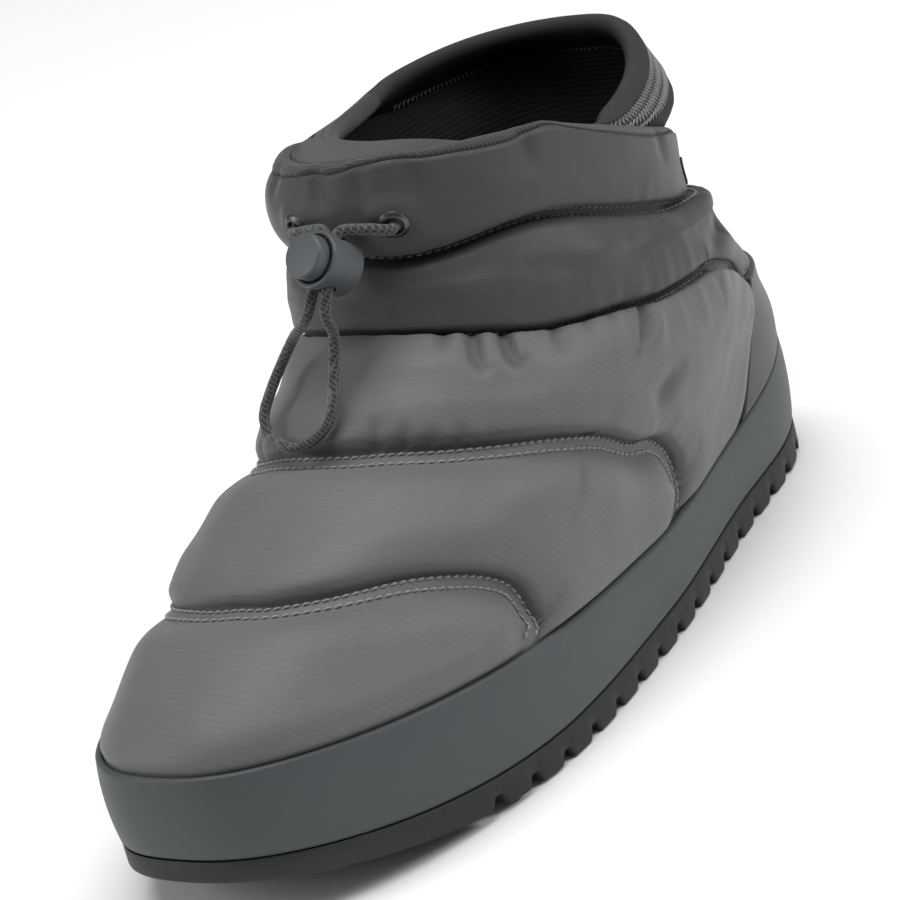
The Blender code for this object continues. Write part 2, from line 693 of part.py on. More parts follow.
def build_barrel(finish, collection, cutters):
    """Cup with a bore for the button and a cross slot for two strands of cord."""
    profile = [(0.0, -BARREL_LENGTH + BARREL_FLOOR), (BARREL_BORE, -BARREL_LENGTH + BARREL_FLOOR),
               (BARREL_BORE, 0.0), (BARREL_RADIUS - LOCK_EDGE, 0.0), (BARREL_RADIUS, -LOCK_EDGE),
               (BARREL_RADIUS, -BARREL_LENGTH + LOCK_EDGE), (BARREL_RADIUS - LOCK_EDGE, -BARREL_LENGTH),
               (0.0, -BARREL_LENGTH)]
    matrix = frame_matrix(BARREL_MOUTH, LOCK_OUT, LOCK_SIDE)
    barrel = turned("cord_lock_barrel", profile, LOCK_SIDES, matrix, finish, collection)
    outline = bpy.data.curves.new("cord_slot_cutter", "CURVE")
    outline.dimensions = "2D"
    outline.fill_mode = "BOTH"
    outline.extrude = 2 * BARREL_RADIUS * MM
    spline = outline.splines.new("POLY")
    turns = [math.radians(30 * k - 90) for k in range(7)] + [math.radians(30 * k + 90) for k in range(7)]
    spline.points.add(len(turns) - 1)
    spline.use_cyclic_u = True
    for k, turn in enumerate(turns):
        shift = CORD_HOLE_SPREAD if k < 7 else -CORD_HOLE_SPREAD
        x = (CORD_HOLE_RADIUS * math.cos(turn) + shift) * MM
        spline.points[k].co = (x, CORD_HOLE_RADIUS * math.sin(turn) * MM, 0.0, 1.0)
    curve = bpy.data.objects.new("cord_slot_outline", outline)
    cutters.objects.link(curve)
    curve.matrix_world = frame_matrix(CORD_HOLE, LOCK_DOWN, LOCK_SIDE)
    bpy.context.view_layer.update()
    cutter_mesh = bpy.data.meshes.new_from_object(curve.evaluated_get(bpy.context.evaluated_depsgraph_get()))
    shape = bmesh.new()
    shape.from_mesh(cutter_mesh)
    bmesh.ops.remove_doubles(shape, verts=shape.verts, dist=0.00001)
    bmesh.ops.recalc_face_normals(shape, faces=shape.faces)
    shape.to_mesh(cutter_mesh)
    shape.free()
    cutter = bpy.data.objects.new("cord_slot_cutter", cutter_mesh)
    cutters.objects.link(cutter)
    cutter.matrix_world = curve.matrix_world
    bpy.data.objects.remove(curve, do_unlink=True)
    cutter.hide_render = True
    cutter.display_type = "WIRE"
    cut = barrel.modifiers.new("cord_slot", "BOOLEAN")
    cut.operation = "DIFFERENCE"
    cut.object = cutter
    return barrel


def build_button(finish, collection):
    """Press button with its short plunger, origin on the slide axis at the barrel's mouth."""
    proud = BUTTON_PROUD
    profile = [(0.0, proud), (BUTTON_RADIUS - LOCK_EDGE, proud), (BUTTON_RADIUS, proud - LOCK_EDGE),
               (BUTTON_RADIUS, -BUTTON_INSIDE), (0.0, -BUTTON_INSIDE)]
    matrix = frame_matrix(BARREL_MOUTH, LOCK_OUT, LOCK_SIDE)
    return turned("cord_lock_button", profile, LOCK_SIDES, matrix, finish, collection)


def cord_object(name, route, finish, collection):
    """Cord tube on a smooth curve through the route's own points."""
    route = np.asarray(route, float)
    run = np.concatenate([[0], np.cumsum(np.linalg.norm(np.diff(route, axis=0), axis=1))])
    count = max(4, int(run[-1] / (2 * CORD_DIAMETER)) + 1)
    points = place(smooth(np.linspace(0, run[-1], count), run, route))
    curve = bpy.data.curves.new(name, "CURVE")
    curve.dimensions = "3D"
    curve.bevel_depth = CORD_DIAMETER / 2 * MM
    curve.bevel_resolution = 2
    curve.use_fill_caps = True
    curve.materials.append(finish)
    spline = curve.splines.new("POLY")
    spline.points.add(count - 1)
    for point, at in zip(spline.points, points):
        point.co = (*at, 1.0)
    obj = bpy.data.objects.new(name, curve)
    collection.objects.link(obj)
    return obj


def strand_route(side):
    """Short stretch from an eyelet to the top of the lock."""
    start = np.array(eyelet_matrix(side).translation) / MM + CENTRE
    out = np.array(eyelet_matrix(side).to_3x3().col[2])
    shift = CORD_HOLE_SPREAD if side == "lateral" else -CORD_HOLE_SPREAD
    end = CORD_HOLE - LOCK_DOWN * (BARREL_RADIUS + GAP) + LOCK_SIDE * shift
    leave = start + out * (EYELET_THICK + STRAND_LIFT)
    return [leave, (leave + end) / 2 - LOCK_DOWN * STRAND_ARCH, end]


# Route of the hanging loop between the two lower mouths of the slot, outer strand first
LOOP_ROUTE = [(184.0, 2.8, 115.0), (185.2, 0.9, 106.2), (191.0, 2.6, 100.2), (195.2, 2.6, 95.0),
              (198.2, -1.0, 91.4), (200.0, -5.2, 89.8), (199.3, -10.6, 90.0), (196.0, -16.4, 90.6),
              (193.8, -20.2, 92.0), (191.5, -21.2, 94.9), (187.9, -20.8, 98.9), (183.4, -19.6, 103.4),
              (182.0, -13.0, 112.0)]


def loop_route():
    lower = CORD_HOLE + LOCK_DOWN * (BARREL_RADIUS + GAP)
    first = lower + LOCK_SIDE * CORD_HOLE_SPREAD
    last = lower - LOCK_SIDE * CORD_HOLE_SPREAD
    return [first, first + LOCK_DOWN * 4.0] + LOOP_ROUTE + [last + LOCK_DOWN * 4.0, last]


def build():
    reset_scene()
    parts = new_collection(BOOT)
    cutters = new_collection("cutters")
    rubber = material("outsole_rubber", (0.018, 0.020, 0.020), 0.6)
    foam = material("midsole_foam", (0.070, 0.085, 0.090), 0.55)
    bed = material("insole_cloth", (0.020, 0.020, 0.022), 0.9)
    shell = material("quilted_nylon", (0.125, 0.120, 0.130), 0.6)
    knit = material("cuff_neoprene", (0.060, 0.060, 0.063), 0.85)
    suede = material("counter_suede", (0.090, 0.088, 0.075), 0.9)
    metal = material("eyelet_metal", (0.050, 0.050, 0.055), 0.35, 1.0)
    braid = material("drawcord_braid", (0.045, 0.045, 0.048), 0.8)
    plastic = material("lock_plastic", (0.075, 0.085, 0.090), 0.5)
    woven = material("label_weave", (0.030, 0.030, 0.032), 0.85)
    build_outsole(rubber, parts)
    build_midsole(foam, parts)
    build_insole(bed, parts)
    build_upper(shell, parts)
    build_cuff(knit, parts)
    build_counter(suede, parts)
    build_label(woven, parts)
    for side in EYELETS:
        build_eyelet(side, metal, parts)
        cord_object("drawcord_" + side, strand_route(side), braid, parts)
    build_barrel(plastic, parts, cutters)
    build_button(plastic, parts)
    cord_object("drawcord_loop", loop_route(), braid, parts)


build()
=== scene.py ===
"""Looks of the quilted sneaker boot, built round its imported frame.

Tables and sizes are in millimetres, x from the back of the sole towards the toe, y to the
outer side, z up from the floor, as in the part's source; place() turns them into the frame.
Angles run round the boot from the toe (0) over the outer side (90 degrees) to the heel (180).
Levels run up the upper from the feather line (0) to the collar (8).
"""
import math

import bpy
import numpy as np
from mathutils import Matrix, Vector, noise
from mathutils.kdtree import KDTree


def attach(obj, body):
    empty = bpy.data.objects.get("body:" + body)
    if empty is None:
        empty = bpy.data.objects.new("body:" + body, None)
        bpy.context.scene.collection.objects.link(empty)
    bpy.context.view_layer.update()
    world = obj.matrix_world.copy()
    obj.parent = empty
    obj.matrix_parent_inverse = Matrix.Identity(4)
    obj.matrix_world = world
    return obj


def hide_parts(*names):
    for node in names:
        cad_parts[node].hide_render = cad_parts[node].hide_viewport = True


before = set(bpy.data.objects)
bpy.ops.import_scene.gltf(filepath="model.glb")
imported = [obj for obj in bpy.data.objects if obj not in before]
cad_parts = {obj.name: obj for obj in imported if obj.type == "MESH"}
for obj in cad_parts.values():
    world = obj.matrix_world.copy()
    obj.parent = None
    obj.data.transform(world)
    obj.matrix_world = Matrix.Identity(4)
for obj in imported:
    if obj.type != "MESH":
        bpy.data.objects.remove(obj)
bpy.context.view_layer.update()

MM = 0.001
CENTRE = np.array((146.97328, 0.407498, 0.0))
SMALL = 1e-3
TUBE_UP = (0.31, 0.17, 0.93)
BRAID_UP = (0.0, 0.3, 1.0)
OVERLAY_RIM = 0.35

# Sizes shared with the part
GAP = 0.3
WALL = 2.8
RIM = 1.8
EDGE_INSET = 0.5
UPPER_INSET = EDGE_INSET + RIM + GAP
SOLE_LENGTH = 296.0
BALL_HALF = 56.0
TOE_POWER = 2.55
HEEL_POWER = 2.4
HEEL_FLARE = 3.0
OUTSOLE_THICK = 9.1
TOE_START = 190.0
HEEL_BEVEL = 40.0
TOE_SPRING = 16.3
TOE_LINE_RISE = 13.2
HEEL_SPRING = 1.8
HEEL_LINE_RISE = 2.3
WALL_BULGE = 1.1
INSOLE_THICK = 4.0

# Columns: along (-1 heel, 1 toe), lateral, medial share of the ball half width
SOLE_PLAN = [
    (-1.00, 0.79, 0.79),
    (-0.60, 0.69, 0.66),
    (-0.10, 0.87, 0.77),
    (0.38, 1.00, 0.99),
    (0.70, 0.98, 1.00),
    (1.00, 0.89, 0.94),
]
# Columns: x, feather, bed
SOLE_RISE = [
    (0.0, 37.7, 26.0),
    (30.0, 30.7, 24.0),
    (90.0, 27.3, 21.5),
    (180.0, 32.7, 19.5),
    (250.0, 39.5, 25.0),
    (296.0, 45.4, 36.0),
]
LUG_PITCH = 14.0
LUG_FIRST = 16.0
LUG_LAST = 226.0
GROOVE_TOP = 5.5
GROOVE_FLOOR = 3.0
GROOVE_DEPTH = 3.6
CHANNEL_HALF = 5.0
CHANNEL_DEPTH = 3.0
# Groove edge: place from its start, depth
GROOVE_EDGE = ((-1.6, 0.0), (-0.45, 0.12), (0.0, 0.5))
GROOVE_ROUND = 0.4
# Rows of the tread: turns and steps of its round ends, plain run after the last groove
TREAD_TURNS = (0.035, 0.46)
TREAD_HEEL_STEPS = 16
TREAD_TOE_STEPS = 22
TREAD_AFTER = 4.0
TREAD_TOE = 16.0
TREAD_STEP = 3.0
SHARP_TREAD = 50.0
# Midsole wall: shares of its height, tuck at the foot, rounding of the lip
WALL_SHARES = (0.0, 0.015, 0.04, 0.1, 0.2, 0.32, 0.45, 0.58, 0.7, 0.8, 0.88, 0.94)
WALL_TUCK = 0.7
WALL_TUCK_SHARE = 0.04
LIP_TURNS = (20, 45, 70, 90)
LIP_ROUND = 1.3
# Insole edge: inset, share of its thickness
INSOLE_EDGE = ((0.0, 0.0), (0.0, 0.7), (0.3, 0.92), (1.0, 1.0), (6.0, 0.98))

# Columns: name, front_x, back_x, lateral, medial, front_z, fore_z, mid_z, back_z, power, sole_share
FORE = 0.6
RINGS = [
    ("low", 279.5, 1.0, 50.5, 50.5, 54.5, 45.5, 40.5, 45.0, 2.5, 0.9),
    ("toe_seam", 245.0, 6.0, 48.5, 47.0, 66.5, 65.0, 56.0, 55.5, 2.5, 0.7),
    ("vamp_seam", 195.0, 12.0, 47.0, 45.0, 85.0, 79.5, 72.0, 65.0, 2.5, 0.4),
    ("instep_seam", 167.0, 20.0, 45.0, 43.0, 105.0, 96.5, 87.5, 74.0, 2.35, 0.0),
    ("ankle", 160.0, 31.0, 40.0, 41.5, 116.0, 111.0, 99.5, 82.0, 2.2, 0.0),
    ("ankle_seam", 160.5, 34.0, 39.0, 42.5, 127.5, 125.0, 112.0, 89.0, 2.1, 0.0),
    ("tier", 162.0, 35.0, 38.5, 43.5, 139.5, 136.5, 122.5, 97.0, 2.15, 0.0),
    ("collar", 162.5, 33.0, 40.5, 43.0, 151.0, 147.5, 134.0, 104.5, 2.1, 0.0),
]
COLLAR = len(RINGS)

# Columns: angle, level on the outer side, on the inner side
TOE_SEAM = [(0, 2.00, 2.00), (20, 2.00, 1.90), (40, 1.92, 1.70), (55, 1.72, 1.52), (65, 1.48, 1.32),
            (70, 1.20, 1.08), (73.5, 0.75, 0.68), (75, 0.30, 0.28), (74.5, 0.00, 0.00)]
VAMP_SEAM = [(0, 3.00, 3.00), (18, 3.00, 2.95), (38, 2.92, 2.80), (52, 2.82, 2.70), (66, 2.67, 2.55),
             (80, 2.42, 2.30), (90, 2.02, 1.92), (95, 1.65, 1.55), (98.5, 1.20, 1.12), (100.5, 0.75, 0.70),
             (101.7, 0.30, 0.28), (101, 0.00, 0.00)]
# Columns: angle, level on both sides
INSTEP_SEAM = [(0, 4.00), (30, 3.96), (50, 3.90), (72, 3.93), (86, 3.88), (102, 3.98), (110, 3.87),
               (119, 3.55), (132, 2.85), (155, 2.80), (180, 2.85)]
COUNTER_EDGE = [(132, 2.85), (133.5, 2.20), (131.5, 1.65), (129, 1.15), (126, 0.35), (124.5, 0.00)]
ANKLE_SEAM = [(0, 6.00), (15, 5.88), (30, 5.88), (52, 6.00), (70, 6.00), (101, 5.87), (120, 5.85),
              (180, 5.90)]
SEAM_SAMPLES = 600

# Padding. Each seam: table, reach of the panel below and above it, lip that rolls over the seam
# below and above, size of the gathers below and above
PUFF_HEIGHT = 5.2
PUFF_BACK = 2.2
PUFF_FRONT = 0.6
PUFF_TOP = 7.3
COLLAR_PUFF_SHARE = 0.55
SEAMS = {
    "toe": (TOE_SEAM, 15.0, 11.0, 0.0, 0.7, 0.10, 0.40),
    "vamp": (VAMP_SEAM, 15.0, 11.0, 0.0, 0.8, 0.15, 0.60),
    "instep": (INSTEP_SEAM, 10.0, 11.0, 1.9, 1.2, 0.70, 0.45),
    "ankle": (ANKLE_SEAM, 10.0, 10.0, 0.7, 1.0, 0.35, 0.35),
}
# The panel below these seams ends in a flat stitched strip; the others have a narrow sunk strip
STRIP_SEAMS = ("toe", "vamp")
SUNK_SEAMS = ("instep", "ankle")
STRIP = 4.2
SUNK_STRIP = 1.2
STRIP_GROOVE = 0.25
FEATHER_REACH = 10.0
COUNTER_REACH = 9.0
# Painted shade along a seam, a dark line where its valley lies in shade: strength, half width
STRIP_PAINTED_SHADE = (0.8, 0.55)
SUNK_PAINTED_SHADE = (0.9, 1.7)
GATHER_START = 1.5
GATHER_END = 4.5
LIP_PLACE = 3.4
LIP_WIDTH = 2.4
LIP_LEAST = 0.5
SOFT_GAIN = 1.6
# Slack of the cloth: size, scale of the noise, seed
SLACK = [(0.45, 22.0, 1), (0.22, 9.0, 2)]

# Stitches: offsets from the seam of the rows on the strips and beside the sunk seams, places along
# one stitch and its taper
STITCH_PITCH = 2.5
STITCH_LENGTH = 2.0
STITCH_RADIUS = 0.36
STITCH_SIDES = 6
STITCH_SLANT = 0.18
STITCH_STAND = 0.34
STITCH_SINK = 0.5
STITCH_LEVELS = (0.1, 7.95)
STITCH_PLACES = np.array((-1.0, -0.75, 0.0, 0.75, 1.0))
STITCH_TAPER = np.array((0.55, 0.9, 1.0, 0.9, 0.55))
STITCH_AHEAD = 0.6
STRIP_ROWS = (-0.85, -3.7)
SUNK_ROWS = (1.15, -1.15)

# Knit roll over the collar, and rows of the lining under it
CREST_TURNS = (6, 14, 24, 38, 56, 76, 98, 122, 146, 168)
CREST_FRONT_RISE = 2.2
CREST_BACK_RISE = 2.5
CREST_DIP = 0.7
CREST_DIP_TURN = 14
CREST_DIP_WIDTH = 7
LINING_ROWS = 13
LINING_KNIT_ROWS = 2

# Inner cuff. Settling columns: angle, drop of the rim, of the ring below it, how far out each moves
CUFF_THICK = 3.0
CUFF_ROLL = 2.4
CUFF_ROLL_REACH = 6.0
CUFF_GAP = 0.4
CUFF_LEVELS = ((6.3, 0.0), (7.2, 0.2), (8.0, 0.6))
CUFF_MID = ("mid", 151.0, 29.5, 35.5, 41.5, 152.0, 149.5, 141.0, 123.5, 2.3, 0.0)
CUFF_RIM = ("rim", 140.0, 33.0, 34.5, 39.5, 149.4, 149.0, 146.0, 143.0, 2.1, 0.0)
CUFF_DIPS = (10.0, 13.0)
CUFF_SETTLING = [(-180, 0.0, 0.0, 0.0, 0.0), (-120, 0.0, 0.0, 0.0, 0.0), (-105, 0.4, 0.6, 0.0, 0.0),
                 (-90, 1.0, 1.6, 0.0, 0.0), (-75, 2.2, 2.8, 0.0, 0.0), (-60, 2.2, 3.0, 0.0, 0.0),
                 (-45, 1.2, 3.0, 0.0, 0.0), (-20, -1.0, 1.6, 0.0, 0.0), (0, -1.6, 0.2, 0.0, 0.0),
                 (20, -1.8, -0.8, 0.0, 0.0), (40, -0.6, 0.0, 0.0, 0.0), (70, 0.0, 0.0, 0.0, 0.0),
                 (105, 0.0, 0.0, -1.2, 1.2), (135, 0.0, 0.0, 0.2, 3.2), (165, 0.0, 0.0, 1.2, 2.0),
                 (180, 0.0, 0.0, 0.0, 0.0)]
# Where the cuff is a low pad across the front (1) and where it stands up (0)
CUFF_FRONT = [(-180, 0), (-98, 0), (-72, 1), (40, 1), (64, 0), (180, 0)]
CUFF_STEPS = 121
CUFF_TURNS = (20, 45, 70, 90, 110, 135, 160)
CUFF_BAND = 2.4
CUFF_BAND_FADE = 0.4
CUFF_PROUD = 0.5
CUFF_TURNED = 8.0
# Painted shade inside the cuff: its share on the inner half of the rolled rim, and the run below the rim
# where it is full
CUFF_ROLL_PAINTED_SHADE = 0.75
CUFF_PAINTED_SHADE_RUN = 2.5
# Runs below the rim of the cuff's rows, and of its zigzag rows
CUFF_NEAR = (0.0, 0.5, 1.0, 1.5, 2.0, 2.3, 2.45, 2.65, 2.85, 3.4, 4.2, 5.0, 6.0, 7.0, 7.9, 8.3,
             9.2, 10.4, 11.8, 13.4, 15.0, 17.5, 20.0)
CUFF_LOWER_ROWS = 8
CUFF_ZIGZAGS = (3.3, 6.4, 9.6)
CUFF_ZIGZAG_INSIDE = 7.4
ZIGZAG_SPAN = (62.0, 264.0)
ZIGZAG_POINTS = 230
ZIGZAG_HALF = 1.2
ZIGZAG_RADIUS = 0.33
ZIGZAG_SIDES = 5
ZIGZAG_STAND = 0.12
ZIGZAG_STAND_INSIDE = 0.1

# Heel counter (its levels: from, to, rows) and label
COUNTER_OFF = 0.1
COUNTER_THICK = 1.9
COUNTER_EDGE_ROUND = 1.2
COUNTER_LEVELS = (0.02, 2.75, 60)
COUNTER_COLUMNS = 160
COUNTER_SET_BACK = 0.8
LABEL_ANGLES = (134.0, 155.0)
LABEL_LEVELS = (6.4, 7.45)
LABEL_OFF = 0.05
LABEL_THICK = 0.6
LABEL_EDGE = 0.7
LABEL_STEPS = 24

# Eyelets: seat, axis out of the collar, direction up the collar
EYELETS = {
    "lateral": ((164.1, 15.85, 136.6), (0.8740, 0.4010, -0.2750), (0.4084, 0.1804, 0.8948)),
    "medial": ((165.8, -13.90, 137.2), (0.9330, -0.2650, -0.2430), (0.3818, -0.1254, 0.9157)),
}
EYELET_LANDING = (4.8, 9.0)
EYELET_RADIUS = 4.2
EYELET_HOLE = 2.4
EYELET_THICK = 1.1
EYELET_SINK = 0.2
EYELET_SIDES = 48

# Cord lock
LOCK_OUT = np.array((0.79294, -0.12199, 0.59696))
LOCK_DOWN = np.array((0.59002, -0.09077, -0.80227))
LOCK_SIDE = np.array((0.15206, 0.98837, 0.0))
BARREL_MOUTH = np.array((182.3696, 1.7124, 135.3928))
CORD_HOLE = np.array((178.5635, 2.2979, 132.5274))
BUTTON_RADIUS = 6.1
BUTTON_PROUD = 4.2
BUTTON_INSIDE = 0.3
BARREL_RADIUS = 7.7
BARREL_BORE = 6.45
BARREL_LENGTH = 11.5
BARREL_FLOOR = 1.8
CORD_HOLE_RADIUS = 2.1
CORD_HOLE_SPREAD = 2.6
CUT_REACH = 20.0
LOCK_SIDES = 72
ON_AXIS = 0.01
SHARP_LOCK = 35.0

# Drawcord, from the medial eyelet through the lock, round the loop and back to the lateral eyelet
CORD_DIAMETER = 3.0
CORD_STEP = 0.8
CORD_BEHIND = 1.5
CORD_BEFORE = 1.6
CORD_SIDES = 16
BRAID_LAY = 5.2
BRAID_STRANDS = 4
BRAID_RAISE = 0.05
STRAND_MEDIAL = [(168.43, -14.64, 136.02), (170.35, -7.0, 138.28), (173.45, 0.45, 138.95)]
STRAND_LATERAL = [(166.56, 16.98, 135.24), (169.81, 11.38, 137.9), (174.24, 5.59, 138.95)]
LOOP_ROUTE = [(183.68, 4.14, 126.11), (186.09, 3.56, 120.95), (183.99, 2.78, 114.9), (184.33, 1.23, 108.75),
              (187.18, 1.41, 103.72), (191.65, 2.7, 99.44), (195.47, 2.43, 94.68),
              (198.52, -1.56, 91.08), (200.03, -7.2, 89.71), (198.13, -13.07, 90.13),
              (194.97, -18.41, 91.09), (191.54, -21.19, 94.86), (187.4, -20.71, 99.4),
              (183.22, -19.46, 103.69), (181.98, -15.99, 108.57), (182.19, -11.73, 113.28),
              (184.44, -6.46, 117.26), (185.8, -2.11, 121.3), (182.89, -1.0, 126.11)]

# Mesh divisions
UPPER_COLUMNS = 440
UPPER_ROWS = 200
SOLE_COLUMNS = 288
INSOLE_COLUMNS = 160
LEVEL_SAMPLES = 320
SEAM_DENSITY = 2.2
SEAM_DENSITY_REACH = 4.0
CUFF_COLUMNS = 288

# Camera: rows of its frame, the point it looks at and its distance
VIEW_RIGHT = np.array((-0.52015, 0.81693, -0.24915))
VIEW_DOWN = np.array((0.43454, 0.00200, -0.90065))
VIEW_AHEAD = np.array((-0.73526, -0.57674, -0.35603))
VIEW_POINT = np.array((150.0, 0.0, 70.0))
VIEW_PIXEL = (436.818, 433.493)
VIEW_SCALE = 3.7334
VIEW_DISTANCE = 1200.0
VIEW_MIDDLE = 450.0
SENSOR = 36.0

# Stage, in metres: how far the camera sees, floor, lights (name, place, target, size, power)
FAR = 20.0
FLOOR_REACH = 6.0
SKY_STRENGTH = 0.22
LIGHTS = [
    ("top", (0.15, 0.1, 2.2), (0.0, 0.0, 0.06), 2.1, 46.0),
    ("left", (1.3, -1.3, 0.9), (0.0, 0.0, 0.07), 1.0, 11.0),
    ("right", (-0.9, 1.4, 1.1), (0.0, 0.0, 0.06), 0.8, 15.0),
]


def hermite(t, step, ends, slopes):
    """Cubic between two ends with their slopes, at the share t of a step."""
    start = (1 + 2 * t) * (1 - t) ** 2 * ends[0] + t * (1 - t) ** 2 * step * slopes[0]
    end = t * t * (3 - 2 * t) * ends[1] - t * t * (1 - t) * step * slopes[1]
    return start + end


def smooth(x, xs, ys):
    """Smooth curve through the rows (xs, ys), read at x."""
    xs = np.asarray(xs, float)
    ys = np.asarray(ys, float)
    slopes = np.gradient(ys, xs, axis=0)
    x = np.clip(np.asarray(x, float), xs[0], xs[-1])
    i = np.clip(np.searchsorted(xs, x, side="right") - 1, 0, len(xs) - 2)
    step = xs[i + 1] - xs[i]
    t = (x - xs[i]) / step
    if ys.ndim > 1:
        step = step[..., None]
        t = t[..., None]
    return hermite(t, step, (ys[i], ys[i + 1]), (slopes[i], slopes[i + 1]))


def read(table, x, column=1):
    """One column of a table, smooth between its rows, read at x of its first column."""
    rows = np.array(table, float)
    return smooth(x, rows[:, 0], rows[:, column])


def resampled(rows, count):
    """Even places along the smooth curve through rows of values."""
    rows = np.asarray(rows, float)
    return smooth(np.linspace(0, len(rows) - 1, count), np.arange(len(rows)), rows)


def signed_degrees(angle):
    return np.degrees((np.asarray(angle, float) + np.pi) % (2 * np.pi) - np.pi)


def ease(share):
    """Smooth rise from 0 to 1."""
    share = np.clip(share, 0, 1)
    return share * share * (3 - 2 * share)


def run_along(points):
    """Run along the first axis of rows of points, from 0."""
    steps = np.linalg.norm(np.diff(points, axis=0), axis=-1)
    return np.concatenate([np.zeros((1, *steps.shape[1:])), np.cumsum(steps, axis=0)])


def unit(vector):
    vector = np.asarray(vector, float)
    return vector / np.linalg.norm(vector, axis=-1, keepdims=True)


def oval(angle, front_power, back_power):
    """Place along (-1 to 1) and across (-1 to 1) on a rounded oval."""
    c = np.cos(angle)
    s = np.sin(angle)
    power = np.where(c > 0, front_power, back_power)
    along = np.sign(c) * np.abs(c) ** (2 / power)
    across = np.sign(s) * np.abs(s) ** (2 / power)
    return along, across


def plan_share(along, angle):
    """Share of the ball half width, from the plan of the sole."""
    return np.where(np.sin(angle) >= 0, read(SOLE_PLAN, along), read(SOLE_PLAN, along, 2))


def toe_lift(x):
    return np.clip((x - TOE_START) / (SOLE_LENGTH - TOE_START), 0, 1) ** 2


def heel_lift(x):
    return np.clip((HEEL_BEVEL - x) / HEEL_BEVEL, 0, 1) ** 2


def bottom_z(x):
    return TOE_SPRING * toe_lift(x) + HEEL_SPRING * heel_lift(x)


def line_z(x):
    return OUTSOLE_THICK + TOE_LINE_RISE * toe_lift(x) + HEEL_LINE_RISE * heel_lift(x)


def feather_z(x):
    return read(SOLE_RISE, x)


def bed_z(x):
    return read(SOLE_RISE, x, 2)


def seat_z(x):
    return bed_z(x) + GAP


def sole_outline(angle, inset, flare=0.0):
    """Plan of the sole moved in by inset; flare lets the heel stand back."""
    along, across = oval(angle, TOE_POWER, HEEL_POWER)
    half = SOLE_LENGTH / 2
    back = np.where(along < 0, flare * np.abs(along) ** 3, 0.0)
    x = half + (half - inset) * along - back
    y = (BALL_HALF * plan_share(along, angle) - inset) * across
    return x, y


def sole_row(angle, inset, flare, height):
    """Row of points round the sole; height gives z from x."""
    x, y = sole_outline(angle, inset, flare)
    return np.stack([x, y, height(x)], -1)


def feather_ring(angle, inset):
    return sole_row(angle, inset, HEEL_FLARE, feather_z)


def ring(angle, row):
    """Points of one row of the ring table."""
    _, front_x, back_x, lateral, medial, front_z, fore_z, mid_z, back_z, power, share = row
    along, across = oval(angle, power, power)
    x = back_x + (front_x - back_x) * (1 + along) / 2
    half = np.where(np.sin(angle) >= 0, lateral, medial)
    half = half * (1 - share + share * plan_share(along, angle))
    z = smooth(along, (-1, 0, FORE, 1), (back_z, mid_z, fore_z, front_z))
    return np.stack([x, half * across, z], -1)


def base(angle, level):
    """Upper before the padding swells: a smooth surface through the rings."""
    angle, level = np.broadcast_arrays(np.asarray(angle, float), np.asarray(level, float))
    shape = angle.shape
    a = angle.ravel()
    v = level.ravel()
    rings = np.stack([feather_ring(a, UPPER_INSET)] + [ring(a, row) for row in RINGS])
    slopes = np.gradient(rings, axis=0)
    i = np.clip(np.floor(v).astype(int), 0, COLLAR - 1)
    k = np.arange(len(a))
    ends = (rings[i, k], rings[i + 1, k])
    made = hermite((v - i)[:, None], 1.0, ends, (slopes[i, k], slopes[i + 1, k]))
    return made.reshape(shape + (3,))


def tangents(angle, level):
    """Small steps round the base surface and up it, with the size of the step in level."""
    low = np.clip(level - SMALL, 0, COLLAR)
    high = np.clip(level + SMALL, 0, COLLAR)
    around = base(angle + SMALL, level) - base(angle - SMALL, level)
    return around, base(angle, high) - base(angle, low), high - low


def outward(angle, level):
    """Unit normal of the base surface."""
    around, up, _ = tangents(angle, level)
    return unit(np.cross(around, up))


class Seam:
    """A quilting seam on both sides of the boot, with its points to measure from."""

    def __init__(self, table):
        table = [(angle, levels[0], levels[-1]) for angle, *levels in table]
        rows = np.clip(resampled(table, SEAM_SAMPLES), 0, (360, COLLAR, COLLAR))
        self.turned = np.maximum.accumulate(rows[:, 0]) + np.arange(SEAM_SAMPLES) * 1e-6
        self.levels = rows[:, 1:]
        self.angles = np.radians(np.concatenate([-rows[::-1, 0], rows[:, 0]]))
        self.heights = np.concatenate([rows[::-1, 2], rows[:, 1]])
        self.points = base(self.angles, self.heights)
        self.run = run_along(self.points)
        self.tree = KDTree(len(self.points))
        for k, point in enumerate(self.points):
            self.tree.insert(point, k)
        self.tree.balance()

    def level(self, angle):
        degrees = signed_degrees(angle)
        lateral = np.interp(degrees, self.turned, self.levels[:, 0])
        medial = np.interp(-degrees, self.turned, self.levels[:, 1])
        return np.where(degrees >= 0, lateral, medial)

    def near(self, points):
        """Index of the closest point of the seam, and how far away it is."""
        found = [self.tree.find(point) for point in points]
        return np.array([hit[1] for hit in found]), np.array([hit[2] for hit in found])


SEAM_LINES = {name: Seam(row[0]) for name, row in SEAMS.items()}
COUNTER_LINE = Seam(COUNTER_EDGE)


def counter_edge(level):
    """Angle of the counter's edge, in degrees."""
    rows = np.array(COUNTER_EDGE, float)[::-1]
    return smooth(level, rows[:, 1], rows[:, 0])


def in_counter(angle, level):
    """True behind the counter's edge, where the upper is not padded."""
    return (np.abs(signed_degrees(angle)) > counter_edge(level)) & (level < COUNTER_EDGE[0][1])


def roll(share):
    """Quarter-round rise from 0 to 1."""
    return np.sqrt(np.clip(1 - (1 - np.clip(share, 0, 1)) ** 2, 0, 1))


def shoulder(share):
    """Gentle rise from 0 to 1."""
    return 1 - (1 - np.clip(share, 0, 1)) ** 2.4


def ripple(run, seed):
    """Uneven waves along a seam, about -1 to 1; each sine has its own length in mm."""
    slow = 0.5 + 0.5 * np.sin(run / 17.0 + seed) * np.sin(run / 41.0 + 2.3 * seed)
    waves = np.sin(run / 1.75 + 1.6 * np.sin(run / 7.9 + seed)) + 0.6 * np.sin(run / 0.98 + 3.1 * seed)
    return slow * waves / 1.6


